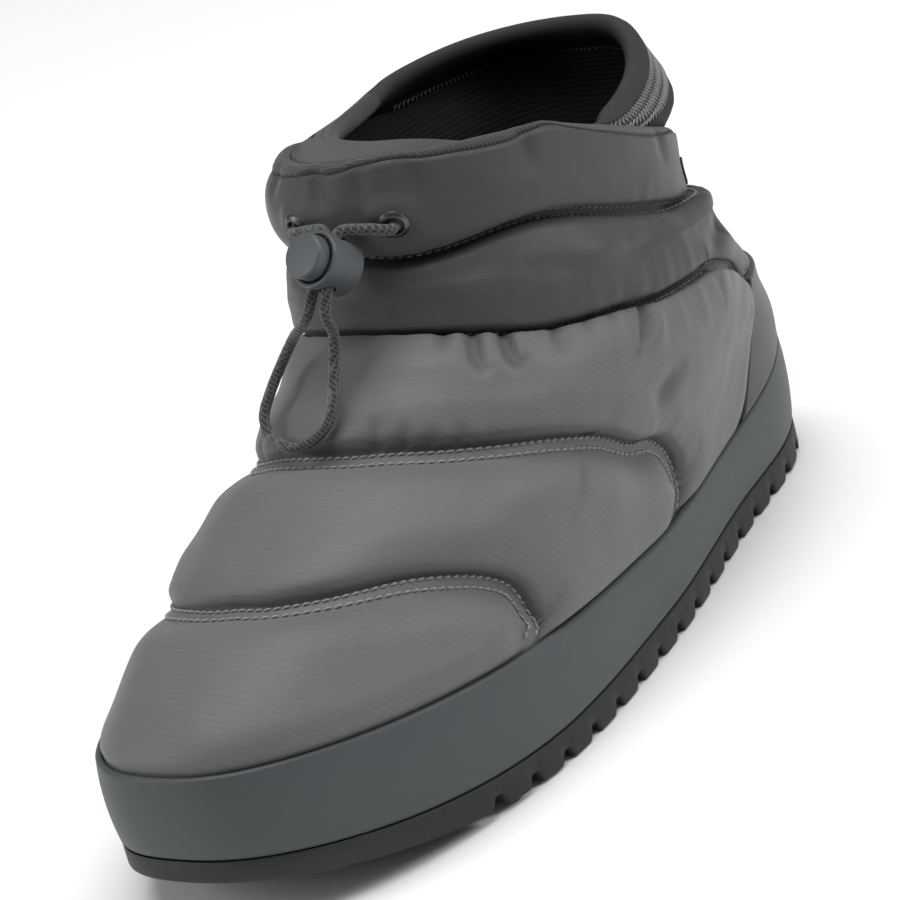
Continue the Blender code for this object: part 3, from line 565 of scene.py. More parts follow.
def soft_noise(points, scale, seed):
    """Smooth noise of a list of points, about -1 to 1."""
    shift = Vector((seed * 17.0, seed * 5.0, seed * 11.0))
    return np.array([noise.noise(Vector(point) / scale + shift) for point in points])


# Main creases: places (angle, level) along each, half width, depth (below zero for a ridge), and
# whether it is deepest at its first place instead of its middle
CREASES = [
    ([(81.5, 3.92), (79.1, 3.59), (77.1, 3.32)], 1.5, 2.6, True),
    ([(84.9, 3.90), (82.6, 3.60), (80.8, 3.36)], 2.2, -0.8, True),
    ([(90.5, 2.86), (88.5, 2.68), (86.0, 2.54)], 3.4, 1.3, False),
    ([(23.0, 3.96), (24.5, 3.70)], 1.7, 1.4, True),
    ([(30.9, 3.95), (34.0, 3.60), (39.0, 3.46)], 2.0, 1.9, True),
    ([(39.2, 3.94), (43.0, 3.60), (48.0, 3.50)], 2.0, 2.3, True),
    ([(55.5, 3.95), (54.5, 3.57)], 1.8, 1.8, True),
    ([(63.8, 3.96), (62.8, 3.66)], 1.6, 1.5, True),
    ([(71.2, 3.96), (69.7, 3.70)], 1.5, 1.4, True),
    ([(92.8, 4.01), (92.8, 3.62)], 1.4, 0.5, True),
    ([(100.7, 3.97), (101.2, 3.55)], 1.5, 0.4, True),
    ([(108.6, 3.82), (109.1, 3.30)], 1.8, 0.3, True),
    ([(123.8, 4.53), (112.0, 4.41), (104.2, 4.26)], 2.4, 1.1, True),
    ([(13.1, 2.96), (11.7, 3.18)], 1.8, 1.3, True),
    ([(21.0, 2.94), (20.0, 3.14)], 1.6, 1.4, True),
    ([(28.4, 2.90), (28.4, 3.10)], 1.6, 1.2, True),
    ([(36.8, 2.86), (35.8, 3.08)], 1.6, 1.1, True),
    ([(94.3, 1.55), (90.9, 1.95), (86.0, 2.42)], 3.0, -0.5, False),
    ([(96.8, 0.92), (100.7, 0.78), (104.2, 0.84)], 2.4, 0.6, True),
    ([(58.4, 4.64), (70.2, 5.02), (80.1, 5.31)], 5.0, -0.8, False),
    ([(73.2, 4.56), (86.9, 5.00), (96.3, 5.33)], 4.0, 0.6, False),
    ([(23.0, 4.62), (35.3, 4.77), (48.6, 5.04)], 5.0, -0.6, False),
    ([(-5.5, 7.98), (-4.1, 7.52), (-4.1, 7.18)], 2.6, 0.9, True),
    ([(10.2, 8.00), (10.2, 7.66), (9.2, 7.33)], 3.0, 0.7, True),
    ([(26.4, 8.00), (27.9, 7.58), (27.9, 7.24)], 3.2, 0.7, True),
    ([(61.4, 8.00), (61.4, 7.58), (61.4, 7.16)], 3.0, 0.7, True),
    ([(-78.0, 3.90), (-75.0, 3.60), (-73.0, 3.34)], 2.2, 1.3, True),
    ([(-34.0, 3.88), (-37.0, 3.60), (-42.0, 3.46)], 2.2, 1.1, True),
    ([(-52.0, 3.88), (-53.0, 3.58)], 2.0, 1.0, True),
    ([(-96.0, 4.00), (-97.0, 3.58)], 1.6, 0.7, True),
    ([(-88.0, 2.80), (-86.0, 2.62), (-83.0, 2.46)], 4.5, 0.9, False),
    ([(-16.0, 2.96), (-15.0, 3.16)], 1.9, 0.7, True),
    ([(-30.0, 2.88), (-29.0, 3.08)], 1.8, 0.7, True),
    ([(-62.0, 4.60), (-74.0, 5.00), (-84.0, 5.30)], 5.0, -0.8, False),
    ([(-30.0, 8.00), (-30.0, 7.60), (-31.0, 7.25)], 3.0, 0.8, True),
    ([(-64.0, 8.00), (-63.0, 7.60), (-63.0, 7.20)], 3.0, 0.7, True),
    ([(112.0, 8.00), (112.0, 7.60), (113.0, 7.20)], 3.2, 0.6, True),
]
CREASE_STEPS = 40
CREASE_GAIN = 1.6
# Strength of the painted shade in the creases, full at the crease depth CREASE_DEEP
CREASE_PAINTED_SHADE = 0.4
CREASE_EDGE = 4
CREASE_DEEP = 2

# Flatter places in the padding: angle and level of the middle, their reach, share taken off
FLATTER = [
    (150.0, 4.2, 38.0, 1.4, 0.92),
    (-150.0, 4.2, 38.0, 1.4, 0.92),
    (140.0, 7.0, 36.0, 1.0, 0.40),
    (-140.0, 7.0, 36.0, 1.0, 0.40),
    (-45.0, 2.65, 22.0, 0.35, 0.45),
    (-35.0, 0.6, 40.0, 0.9, 0.62),
    (-40.0, 2.1, 30.0, 0.35, 0.45),
    (-38.0, 3.35, 30.0, 0.4, 0.45),
]

# The back of the ankle tier, fullest under the collar. Columns: level, swell, lift
ANKLE_BACK = [(0.0, 0.0, 0.0), (2.6, 0.0, 0.0), (2.85, 0.0, 0.0), (3.2, -1.5, 0.0), (3.6, -1.9, 0.0),
              (4.0, -1.5, 0.0), (4.4, 0.4, 0.1), (4.8, 3.0, 0.3), (5.2, 4.6, 0.9), (5.5, 5.2, 1.7),
              (5.65, 4.8, 2.1), (5.78, 2.8, 1.6),
              (5.88, 0.0, 0.0), (6.0, 0.0, 0.0), (8.0, 0.0, 0.0)]
ANKLE_BACK_ANGLES = (104.0, 130.0)

# Columns: angle, lift of the hem
HEM = [(-180, 1.0), (-125, 0.4), (-105, -0.8), (-85, -2.4), (-65, -3.2), (-45, -3.4), (-28, -2.2),
       (-10, 0.0), (0, 0.3), (10, 1.5), (20, 2.6), (28, 1.6), (40, 0.8), (50, 0.2), (60, 0.8), (70, 3.3),
       (77, 1.9), (90, 0.0), (100, -0.8), (110, -0.6), (122, 1.2), (150, 1.0), (180, 1.0)]


def crease_depths(points):
    """Depth of the creases at each point."""
    total = np.zeros(len(points))
    for route, half_width, depth, open_end in CREASES:
        route = resampled(route, CREASE_STEPS)
        line = base(np.radians(route[:, 0]), np.clip(route[:, 1], 0, COLLAR))
        middle = line.mean(0)
        reach = np.linalg.norm(line - middle, axis=1).max() + 3 * half_width
        close = np.flatnonzero(np.linalg.norm(points - middle, axis=1) < reach)
        if not len(close):
            continue
        gaps = np.linalg.norm(points[close][:, None] - line[None], axis=-1)
        along = gaps.argmin(1) / (CREASE_STEPS - 1)
        fade = 1 - along ** 2 if open_end else np.sin(np.pi * along)
        total[close] += CREASE_GAIN * depth * fade * np.exp(-(gaps.min(1) / half_width) ** 2)
    return total


def padding(angle, level):
    """Outer surface of the padded upper, and its painted shade (0 to 1), dark in the sunk seams and
    creases.
    """
    shape = np.shape(angle)
    angle = np.asarray(angle, float).ravel()
    level = np.asarray(level, float).ravel()
    degrees = signed_degrees(angle)
    points = base(angle, level)
    normal = outward(angle, level)
    height = smooth(np.abs(degrees) / 180, (0.0, PUFF_FRONT, 1.0), (PUFF_HEIGHT, PUFF_HEIGHT, PUFF_BACK))
    height = height * smooth(level, (0.0, PUFF_TOP, COLLAR), (1.0, 1.0, COLLAR_PUFF_SHARE))
    for middle, at, wide, tall, taken in FLATTER:
        near = np.exp(-((degrees - middle) / wide) ** 2 - ((level - at) / tall) ** 2)
        height = height * (1 - taken * near)
    rise = np.linalg.norm(points - base(angle, np.zeros_like(level)), axis=-1)
    share = roll(rise / FEATHER_REACH)
    extra = np.zeros_like(level)
    shade = np.zeros_like(level)
    slide = np.zeros_like(points)
    for seed, (name, row) in enumerate(SEAMS.items()):
        _, reach_below, reach_above, lip_below, lip_above, gather_below, gather_above = row
        line = SEAM_LINES[name]
        index, away = line.near(points)
        above = level > line.level(angle)
        if name in STRIP_SEAMS:
            low_share = shoulder((away - STRIP) / reach_below)
            high_share = roll((away - STRIP_GROOVE) / reach_above)
            dark = STRIP_PAINTED_SHADE[0] * np.exp(-(away / STRIP_PAINTED_SHADE[1]) ** 2)
        else:
            low_share = roll((away - SUNK_STRIP) / reach_below)
            high_share = roll((away - SUNK_STRIP) / reach_above)
            dark = SUNK_PAINTED_SHADE[0] * np.exp(-(away / SUNK_PAINTED_SHADE[1]) ** 4)
        # Painted shade: a dark line along the seam, where its valley lies in shade
        shade = np.maximum(shade, dark)
        share = share * np.where(above, high_share, low_share)
        gather = np.where(above, gather_above, gather_below) * ripple(line.run[index], seed + 1.0)
        extra += gather * np.exp(-away / GATHER_END) * (1 - np.exp(-away / GATHER_START))
        lip = np.where(above, lip_above, lip_below) * np.exp(-((away - LIP_PLACE) / LIP_WIDTH) ** 2)
        toward = line.points[index] - points
        slide += toward / np.maximum(away, LIP_LEAST)[:, None] * lip[:, None]
    _, away = COUNTER_LINE.near(points)
    bare = in_counter(angle, level)
    share = share * np.where(bare, 0.0, roll(away / COUNTER_REACH))
    soft = np.where(bare, 0.0, np.clip(share * SOFT_GAIN, 0, 1))
    slack = sum(size * soft_noise(points, scale, seed) for size, scale, seed in SLACK)
    full = height / PUFF_HEIGHT
    creases = crease_depths(points) * np.clip(share * CREASE_EDGE, 0, 1) * ~bare
    # Painted shade in the creases, darker the deeper they are
    shade = np.maximum(shade, CREASE_PAINTED_SHADE * np.clip(creases / CREASE_DEEP, 0, 1))
    extra = (extra + slack * share) * soft * full - creases
    made = points + normal * (height * share + extra)[:, None] + slide * (soft * full)[:, None]
    made[:, 2] += read(HEM, degrees) * np.clip(level - (COLLAR - 1), 0, 1) ** 2
    behind = ease((np.abs(degrees) - ANKLE_BACK_ANGLES[0]) / np.ptp(ANKLE_BACK_ANGLES))
    made += normal * (read(ANKLE_BACK, level) * behind)[:, None]
    made[:, 2] += read(ANKLE_BACK, level, 2) * behind
    flat, reach = EYELET_LANDING
    for seat, axis, _ in EYELETS.values():
        off = made - seat
        close = ease((reach - np.linalg.norm(off, axis=-1)) / (reach - flat))
        made -= (close * (off @ np.array(axis)))[:, None] * np.array(axis)
    return made.reshape(shape + (3,)), shade.reshape(shape)


def place(points):
    return (np.asarray(points, float) - CENTRE) * MM


def even_angles(count):
    """Angles with even steps along the sole and the collar together."""
    fine = np.linspace(0, 2 * np.pi, 4001)
    rings = [feather_ring(fine, 0.0), ring(fine, RINGS[3]), ring(fine, RINGS[7])]
    steps = sum(np.linalg.norm(np.diff(points, axis=0), axis=1) for points in rings)
    run = np.concatenate([[0], np.cumsum(steps)])
    return np.interp(np.arange(count) / count * run[-1], run, fine)


def mesh_object(name, points, faces, finishes, indices=None):
    mesh = bpy.data.meshes.new(name)
    mesh.from_pydata(place(points).tolist(), [], [tuple(int(k) for k in face) for face in faces])
    for finish in finishes:
        mesh.materials.append(finish)
    if indices is not None:
        mesh.polygons.foreach_set("material_index", np.asarray(indices, np.int32))
    mesh.shade_smooth()
    obj = bpy.data.objects.new(name, mesh)
    bpy.context.scene.collection.objects.link(obj)
    return obj


def grid_faces(rows, columns, close_rows, close_columns):
    """Quads of a grid of rows of points; rows and columns may each close on themselves."""
    i = np.arange(rows if close_rows else rows - 1)[:, None]
    j = np.arange(columns if close_columns else columns - 1)[None]
    i2 = (i + 1) % rows
    j2 = (j + 1) % columns
    quads = np.stack([i * columns + j, i * columns + j2, i2 * columns + j2, i2 * columns + j], -1)
    return quads.reshape(-1, 4)


def capped_faces(rows, columns):
    """Quads of a tube of rows of points, and its two ends."""
    faces = grid_faces(rows, columns, False, True).tolist()
    faces.append(list(range(columns))[::-1])
    faces.append([(rows - 1) * columns + k for k in range(columns)])
    return faces


def ladder_faces(first, columns, up):
    """Close a ring by rungs between its two sides."""
    half = columns // 2
    faces = [(0, 1, columns - 1), (half - 1, half, half + 1)]
    faces += [(j, j + 1, columns - j - 1, columns - j) for j in range(1, half - 1)]
    faces = [tuple(first + k for k in face) for face in faces]
    return faces if up else [face[::-1] for face in faces]


def ride(obj, body, nodes):
    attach(obj, body)
    if nodes:
        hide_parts(*nodes)
    return obj


def store_painted_shade(obj, values):
    """Keep the painted shade of each point, for its material to darken by."""
    obj.data.attributes.new("painted_shade_share", "FLOAT", "POINT").data.foreach_set("value", values.ravel())


def scaled(colour, share):
    return tuple(c * share for c in colour)


class Shade:
    """Small helper to build one Principled material from nodes. Sizes here are in metres."""

    def __init__(self, name, colour, roughness, specular):
        self.own = colour
        self.material = bpy.data.materials.new(name)
        self.material.use_nodes = True
        self.material.diffuse_color = (*colour, 1.0)
        self.tree = self.material.node_tree
        self.shader = self.tree.nodes["Principled BSDF"].inputs
        self.coords = self.tree.nodes.new("ShaderNodeTexCoord").outputs["Object"]
        self.set("Base Color", colour).set("Roughness", roughness).set("Specular IOR Level", specular)

    def put(self, socket, value):
        """Give a socket a number, a colour or the output of another node."""
        if isinstance(value, bpy.types.NodeSocket):
            self.tree.links.new(value, socket)
        elif socket.type == "RGBA":
            socket.default_value = (*value, 1.0)
        else:
            socket.default_value = value

    def set(self, socket, value):
        self.put(self.shader[socket], value)
        return self

    def node(self, kind, sockets, **settings):
        made = self.tree.nodes.new("ShaderNode" + kind)
        for key, value in settings.items():
            setattr(made, key, value)
        for key, value in sockets.items():
            self.put(made.inputs[key], value)
        return made.outputs

    def mapped(self, scale=(1, 1, 1), turn=(0, 0, 0)):
        return self.node("Mapping", {"Vector": self.coords, "Scale": scale, "Rotation": turn})["Vector"]

    def wave(self, pitch, vector, direction="X", distortion=0.0, detail_scale=1.0):
        sockets = {"Vector": vector, "Scale": math.pi / 10 / pitch, "Distortion": distortion,
                   "Detail Scale": detail_scale}
        return self.node("TexWave", sockets, bands_direction=direction)["Fac"]

    def noise(self, size, detail=3.0, vector=None):
        vector = self.mapped() if vector is None else vector
        return self.node("TexNoise", {"Vector": vector, "Scale": 1 / size, "Detail": detail})["Fac"]

    def math(self, kind, a, b):
        return self.node("Math", {0: a, 1: b}, operation=kind)[0]

    def plus(self, a, b):
        return self.math("ADD", a, b)

    def times(self, a, b):
        return self.math("MULTIPLY", a, b)

    def mix(self, factor, a, b):
        return self.node("Mix", {0: factor, 6: a, 7: b}, data_type="RGBA")[2]

    def tones(self, factor, dark, light):
        """Between a dark and a light share of the material's own colour."""
        return self.mix(factor, scaled(self.own, dark), scaled(self.own, light))

    def sunk(self, tone, dark):
        """Painted shade: a tone that falls to a dark share of the own colour with the points' stored shade.
        """
        shade = self.node("Attribute", {}, attribute_name="painted_shade_share")["Fac"]
        return self.mix(shade, tone, scaled(self.own, dark))

    def rough(self, grain, least, span):
        return self.set("Roughness", self.plus(least, self.times(grain, span)))

    def bump(self, height, strength, distance):
        sockets = {"Height": height, "Strength": strength, "Distance": distance}
        return self.set("Normal", self.node("Bump", sockets)["Normal"])


def nylon(name, colour, turn, marked):
    """Satin ripstop: broken thread lines, fine weave and faint mottling, with painted shade in the sunk
    seams and creases.
    """
    made = Shade(name, colour, 0.52, 0.35)
    made.set("Sheen Weight", 0.12).set("Sheen Roughness", 0.4)
    vector = made.mapped(turn=(0.0, math.radians(turn), 0.0))
    lines = made.wave(0.00175, vector, "X", 0.5, 0.5)
    cross = made.wave(0.0022, vector, "Y", 0.8, 0.6)
    grain = made.noise(0.0008)
    ramp = made.tree.nodes.new("ShaderNodeValToRGB")
    ramp.color_ramp.elements[1].position = 0.10
    made.put(ramp.inputs["Fac"], lines)
    broken = made.math("MAXIMUM", ramp.outputs["Color"], made.noise(0.003, 2.0, vector))
    tone = made.tones(made.noise(0.035), 0.88, 1.10)
    tone = made.mix(made.times(grain, 0.5), tone, scaled(colour, 1.45))
    faint = made.times(made.math("SUBTRACT", 1.0, broken), marked)
    tone = made.mix(faint, tone, scaled(colour, 0.5))
    made.set("Base Color", made.sunk(tone, 0.22))
    made.rough(grain, 0.44, 0.2)
    weave = made.plus(made.times(broken, 1.5 * marked), made.times(cross, 0.2))
    made.bump(made.plus(weave, made.times(grain, 0.6)), 0.3, 0.00016)
    return made.material


def knit(name, colour, pitch, direction, sheen):
    """Fine ribbed knit."""
    made = Shade(name, colour, 0.9, 0.2)
    made.set("Sheen Weight", sheen).set("Sheen Roughness", 0.5)
    ribs = made.wave(pitch, made.mapped(), direction, 0.8, 0.6)
    loops = made.noise(pitch * 0.7, 2.0, made.mapped((1, 1, 1.6)))
    both = made.plus(ribs, loops)
    made.set("Base Color", made.tones(made.times(both, 0.5), 0.62, 1.3))
    made.bump(made.plus(both, made.times(made.noise(0.0005), 0.6)), 0.5, 0.00035)
    return made.material


def neoprene(name, colour):
    """Close smooth knit face over foam, darkened inside the cuff by painted shade."""
    made = Shade(name, colour, 0.85, 0.1)
    grain = made.noise(0.0006, 3.0, made.mapped((1, 1, 1.5)))
    tone = made.tones(made.times(made.plus(grain, made.noise(0.02)), 0.5), 0.85, 1.2)
    made.set("Base Color", made.sunk(tone, 0.1))
    made.bump(grain, 0.35, 0.0002)
    return made.material


def moulded(name, colour, specular, grain, cloud, tones, rough, bump, metallic=0.0):
    """Smooth skin. Grain and cloud: size and detail; tones: dark and light share; rough: least and span."""
    made = Shade(name, colour, rough[0], specular).set("Metallic", metallic)
    fine = made.noise(*grain)
    made.set("Base Color", made.tones(made.noise(*cloud), *tones))
    made.rough(fine, *rough).bump(fine, *bump)
    return made.material


def suede(name, colour):
    """Brushed nap: fine speckle and soft clouds."""
    made = Shade(name, colour, 0.95, 0.15)
    made.set("Sheen Weight", 0.5).set("Sheen Roughness", 0.45)
    nap = made.noise(0.0005, 4.0, made.mapped((1, 1, 2)))
    made.set("Base Color", made.tones(made.times(made.plus(nap, made.noise(0.012, 4.0)), 0.5), 0.7, 1.35))
    made.bump(nap, 0.6, 0.0003)
    return made.material


def thread(name, colour):
    made = Shade(name, colour, 0.7, 0.3).set("Sheen Weight", 0.3)
    twist = made.wave(0.0005, made.mapped(turn=(0.5, 0.6, 0.7)), "X", 0.5)
    made.set("Base Color", made.tones(twist, 0.75, 1.2))
    made.bump(twist, 0.3, 0.0001)
    return made.material


def plain_cloth(name, colour, pitch):
    made = Shade(name, colour, 0.92, 0.2).set("Sheen Weight", 0.25)
    warp = made.wave(pitch, made.mapped(), "X", 0.4)
    weft = made.wave(pitch, made.mapped(), "Y", 0.4)
    fuzz = made.noise(0.0006)
    made.set("Base Color", made.tones(fuzz, 0.75, 1.3))
    made.bump(made.plus(made.plus(warp, weft), fuzz), 0.4, 0.0002)
    return made.material


def braid_finish(name, colour, dark, light):
    made = Shade(name, colour, 0.8, 0.25).set("Sheen Weight", 0.3)
    fleck = made.wave(0.0011, made.mapped(turn=(0.4, 0.7, 0.3)), "X", 2.0, 3.0)
    cross = made.wave(0.0011, made.mapped(turn=(-0.4, -0.7, 0.9)), "X", 2.0, 3.0)
    mark = made.math("MAXIMUM", fleck, cross)
    made.set("Base Color", made.mix(made.math("POWER", mark, 6.0), dark, light))
    made.bump(mark, 0.4, 0.0003)
    return made.material


NYLON = nylon("quilted_nylon_panels", (0.104, 0.100, 0.106), -41.0, 0.34)
# The panel nylon made darker for the collar and ankle tiers: the darker colour is painted shade
NYLON_ANKLE_SHADED = nylon("quilted_nylon_ankle_shaded", (0.042, 0.0415, 0.0435), 110.0, 0.22)
KNIT = knit("collar_knit", (0.041, 0.041, 0.047), 0.0011, "X", 0.2)
LINING = knit("lining_knit", (0.008, 0.008, 0.009), 0.0014, "Z", 0.0)
CUFF_CLOTH = neoprene("cuff_neoprene_face", (0.040, 0.040, 0.042))
FOAM = moulded("midsole_foam_skin", (0.051, 0.062, 0.065), 0.35, (0.0007, 3.0), (0.05, 3.0), (0.92, 1.1),
               (0.40, 0.2), (0.12, 0.00012))
RUBBER = moulded("outsole_rubber_skin", (0.016, 0.018, 0.017), 0.35, (0.0006, 4.0), (0.02, 3.0),
                 (0.75, 1.35), (0.42, 0.3), (0.2, 0.00012))
PLASTIC = moulded("lock_plastic_moulded", (0.063, 0.072, 0.077), 0.45, (0.0004, 3.0), (0.0004, 3.0),
                  (0.93, 1.08), (0.34, 0.18), (0.15, 0.0001))
METAL = moulded("eyelet_metal_dark", (0.10, 0.10, 0.11), 0.5, (0.0004, 3.0), (0.0004, 3.0), (1.0, 1.0),
                (0.26, 0.2), (0.1, 0.0001), 1.0)
SUEDE = suede("counter_suede_nap", (0.040, 0.039, 0.036))
STITCH = thread("stitch_thread", (0.24, 0.235, 0.245))
STITCH_ANKLE = thread("stitch_thread_ankle", (0.21, 0.207, 0.212))
ZIGZAG = thread("zigzag_thread", (0.16, 0.16, 0.165))
# A darker copy of the zigzag thread for the row inside the cuff: the darker colour is painted shade
ZIGZAG_INSIDE = thread("zigzag_thread_inside_shaded", (0.05, 0.05, 0.052))
BED = plain_cloth("insole_cloth_face", (0.022, 0.022, 0.024), 0.0009)
TAB = plain_cloth("label_weave_face", (0.035, 0.035, 0.038), 0.0006)
BRAID = braid_finish("drawcord_braid_face", (0.05, 0.05, 0.053), (0.022, 0.022, 0.024), (0.10, 0.10, 0.104))


def seam_levels(angles):
    """Levels of the rows of each column, closer together beside the seams."""
    fine = np.linspace(0, COLLAR, LEVEL_SAMPLES)
    grid_levels, grid_angles = np.meshgrid(fine, angles, indexing="ij")
    points = base(grid_angles, grid_levels)
    flat = points.reshape(-1, 3)
    away = np.min([line.near(flat)[1] for line in [*SEAM_LINES.values(), COUNTER_LINE]], axis=0)
    density = 1 + SEAM_DENSITY * np.exp(-(away / SEAM_DENSITY_REACH) ** 2).reshape(points.shape[:2])
    steps = np.linalg.norm(np.diff(points, axis=0), axis=-1) * (density[1:] + density[:-1]) / 2
    run = np.concatenate([np.zeros((1, len(angles))), np.cumsum(steps, axis=0)])
    shares = np.linspace(0, 1, UPPER_ROWS)
    return np.stack([np.interp(shares * run[-1, j], run[:, j], fine) for j in range(len(angles))], -1)


def build_upper():
    """Padded wall: outside up to the hem, knit roll over the top, lining down the inside."""
    angles = even_angles(UPPER_COLUMNS)
    levels = seam_levels(angles)
    grid_angles = np.repeat(angles[None], UPPER_ROWS, axis=0)
    outer, shade = padding(grid_angles, levels)
    rows = [sole_row(angles, UPPER_INSET, HEEL_FLARE, seat_z)] + list(outer)
    top = np.full(UPPER_COLUMNS, float(COLLAR))
    normal = outward(angles, top)
    edge = base(angles, top)
    lift = outer[-1, :, 2] - edge[:, 2]
    swollen = ((outer[-1] - edge) * normal).sum(-1)
    climb = CREST_BACK_RISE + (CREST_FRONT_RISE - CREST_BACK_RISE) * (1 + np.cos(angles)) / 2
    for turn in np.radians(CREST_TURNS):
        off = (swollen - WALL) / 2 + (swollen + WALL) / 2 * math.cos(turn)
        dip = CREST_DIP * math.exp(-((math.degrees(turn) - CREST_DIP_TURN) / CREST_DIP_WIDTH) ** 2)
        crest = edge + normal * (off - dip)[:, None]
        crest[:, 2] += climb * math.sin(turn) + lift * math.cos(turn / 2) ** 2 - 0.5 * dip
        rows.append(crest)
    for level in np.linspace(COLLAR, 0, LINING_ROWS):
        row = np.full(UPPER_COLUMNS, level)
        rows.append(base(angles, row) - outward(angles, row) * WALL)
    rows.append(sole_row(angles, UPPER_INSET + WALL, HEEL_FLARE, seat_z))
    count = len(rows)
    faces = grid_faces(count, UPPER_COLUMNS, True, True)
    finish = np.zeros((count, UPPER_COLUMNS), int)
    middle = (levels[:-1] + levels[1:]) / 2
    finish[1:UPPER_ROWS] = np.where(middle > SEAM_LINES["instep"].level(grid_angles[:-1]), 1, 0)
    lining = UPPER_ROWS + 1 + len(CREST_TURNS) + LINING_KNIT_ROWS
    finish[UPPER_ROWS] = 1
    finish[UPPER_ROWS + 1:lining] = 2
    finish[lining:] = 3
    obj = mesh_object("upper_shell", np.concatenate(rows), faces, [NYLON, NYLON_ANKLE_SHADED, KNIT, LINING],
                      finish.ravel())
    values = np.zeros((count, UPPER_COLUMNS))
    values[1:UPPER_ROWS + 1] = shade
    store_painted_shade(obj, values)
    ride(obj, "boot", ["upper"])


def swept(points, radii, side, up, sides):
    """Rings of points round a path."""
    turns = np.arange(sides) * 2 * np.pi / sides
    rings = points[:, None] + radii[..., None] * (np.cos(turns)[None, :, None] * side[:, None]
                                                  + np.sin(turns)[None, :, None] * up[:, None])
    return rings.reshape(-1, 3)


def tube(points, radius, sides):
    """Points and faces of a closed tube along points."""
    points = np.asarray(points, float)
    ahead = unit(np.gradient(points, axis=0))
    side = unit(np.cross(ahead, TUBE_UP))
    radii = np.broadcast_to(radius, (len(points),))[:, None]
    rings = swept(points, radii, side, np.cross(ahead, side), sides)
    return rings, [face[::-1] for face in capped_faces(len(points), sides)]


def joined(name, parts, finish, nodes):
    """One object of several point and face lists."""
    points = []
    faces = []
    count = 0
    for part_points, part_faces in parts:
        points.append(part_points)
        faces += [[k + count for k in face] for face in part_faces]
        count += len(part_points)
    obj = mesh_object(name, np.concatenate(points), faces, [finish])
    return ride(obj, "boot", nodes)


def seam_row_places(line, off):
    """Angle and level of stitches along a seam, off mm above it, with their direction."""
    stations = np.arange(STITCH_PITCH / 2, line.run[-1], STITCH_PITCH)
    angle = np.interp(stations, line.run, line.angles)
    level = np.interp(stations, line.run, line.heights)
    around, up, climbed = tangents(angle, level)
    around = around / (2 * SMALL)
    up = up / climbed[:, None]
    ends = [np.stack([np.interp(stations + step, line.run, line.points[:, k]) for k in range(3)], -1)
            for step in (STITCH_AHEAD, -STITCH_AHEAD)]
    ahead = unit(ends[0] - ends[1])
    normal = unit(np.cross(around, up))
    shift = np.cross(normal, ahead) * off
    g11 = (around * around).sum(-1)
    g12 = (around * up).sum(-1)
    g22 = (up * up).sum(-1)
    b1 = (shift * around).sum(-1)
    b2 = (shift * up).sum(-1)
    det = g11 * g22 - g12 ** 2
    return angle + (g22 * b1 - g12 * b2) / det, level + (g11 * b2 - g12 * b1) / det, ahead, normal


def stitches(line, off):
    """Short raised stitches in a row beside a seam."""
    angle, level, ahead, normal = seam_row_places(line, off)
    keep = (level > STITCH_LEVELS[0]) & (level < STITCH_LEVELS[1])
    angle, level, ahead, normal = angle[keep], level[keep], ahead[keep], normal[keep]
    seats, _ = padding(angle, level)
    across = np.cross(normal, ahead)
    parts = []
    for seat, run, out, side in zip(seats, ahead, normal, across):
        path = seat + (run + side * STITCH_SLANT)[None] * (STITCH_PLACES * STITCH_LENGTH / 2)[:, None]
        path = path + out[None] * (STITCH_STAND - STITCH_SINK * np.abs(STITCH_PLACES) ** 3)[:, None]
        parts.append(tube(path, STITCH_RADIUS * STITCH_TAPER, STITCH_SIDES))
    return parts


def build_stitches():
    for piece, seams, offsets, finish in (("seam_stitches", STRIP_SEAMS, STRIP_ROWS, STITCH),
                                          ("seam_stitches_upper", SUNK_SEAMS, SUNK_ROWS, STITCH_ANKLE)):
        parts = []
        for name in seams:
            for off in offsets:
                parts += stitches(SEAM_LINES[name], off)
        joined(piece, parts, finish, ())


def half_mirrored(angles):
    """Angles of the outer half, mirrored on the inner half, so that rungs join pairs."""
    half = len(angles) // 2
    fine = np.interp(np.linspace(0, half, half + 1), np.arange(len(angles)), np.unwrap(angles))
    fine = fine * np.pi / fine[-1]
    return np.concatenate([fine, 2 * np.pi - fine[-2:0:-1]])


def laddered(name, rows, finish, node):
    """Piece of rows of points round the sole, closed below and above by rungs."""
    columns = len(rows[0])
    faces = ladder_faces(0, columns, False)
    faces += grid_faces(len(rows), columns, False, True).tolist()
    faces += ladder_faces((len(rows) - 1) * columns, columns, True)
    obj = mesh_object(name, np.concatenate(rows), faces, [finish])
    return ride(obj, "boot", [node])


def wall_z(x, share):
    """Height of the midsole's wall at a share of it."""
    low = line_z(x) + GAP / 2
    return low + (feather_z(x) - low) * share


def wall_inset(share):
    return EDGE_INSET - WALL_BULGE * 4 * share * (1 - share)


def build_midsole():
    angles = half_mirrored(even_angles(SOLE_COLUMNS))
    rows = []
    for share in WALL_SHARES:
        tuck = WALL_TUCK * max(0.0, 1 - share / WALL_TUCK_SHARE) ** 2
        x, y = sole_outline(angles, wall_inset(share) + tuck, HEEL_FLARE * share)
        rows.append(np.stack([x, y, wall_z(x, share)], -1))
    share = WALL_SHARES[-1]
    for turn in np.radians(LIP_TURNS):
        x, y = sole_outline(angles, wall_inset(share) + LIP_ROUND * (1 - math.cos(turn)), HEEL_FLARE)
        start = wall_z(x, share)
        rows.append(np.stack([x, y, start + (feather_z(x) - start) * math.sin(turn)], -1))
    x, y = sole_outline(angles, EDGE_INSET + RIM, HEEL_FLARE)
    rows.append(np.stack([x, y, feather_z(x) - GAP], -1))
    rows.append(np.stack([x, y, bed_z(x)], -1))
    laddered("midsole_cup", rows, FOAM, "midsole")


def build_insole():
    angles = half_mirrored(even_angles(INSOLE_COLUMNS))
    rows = []
    for inset, rise in INSOLE_EDGE:
        x, y = sole_outline(angles, UPPER_INSET + WALL + 2 * GAP + inset, HEEL_FLARE)
        rows.append(np.stack([x, y, seat_z(x) + INSOLE_THICK * rise], -1))
    laddered("insole_pad", rows, BED, "insole")


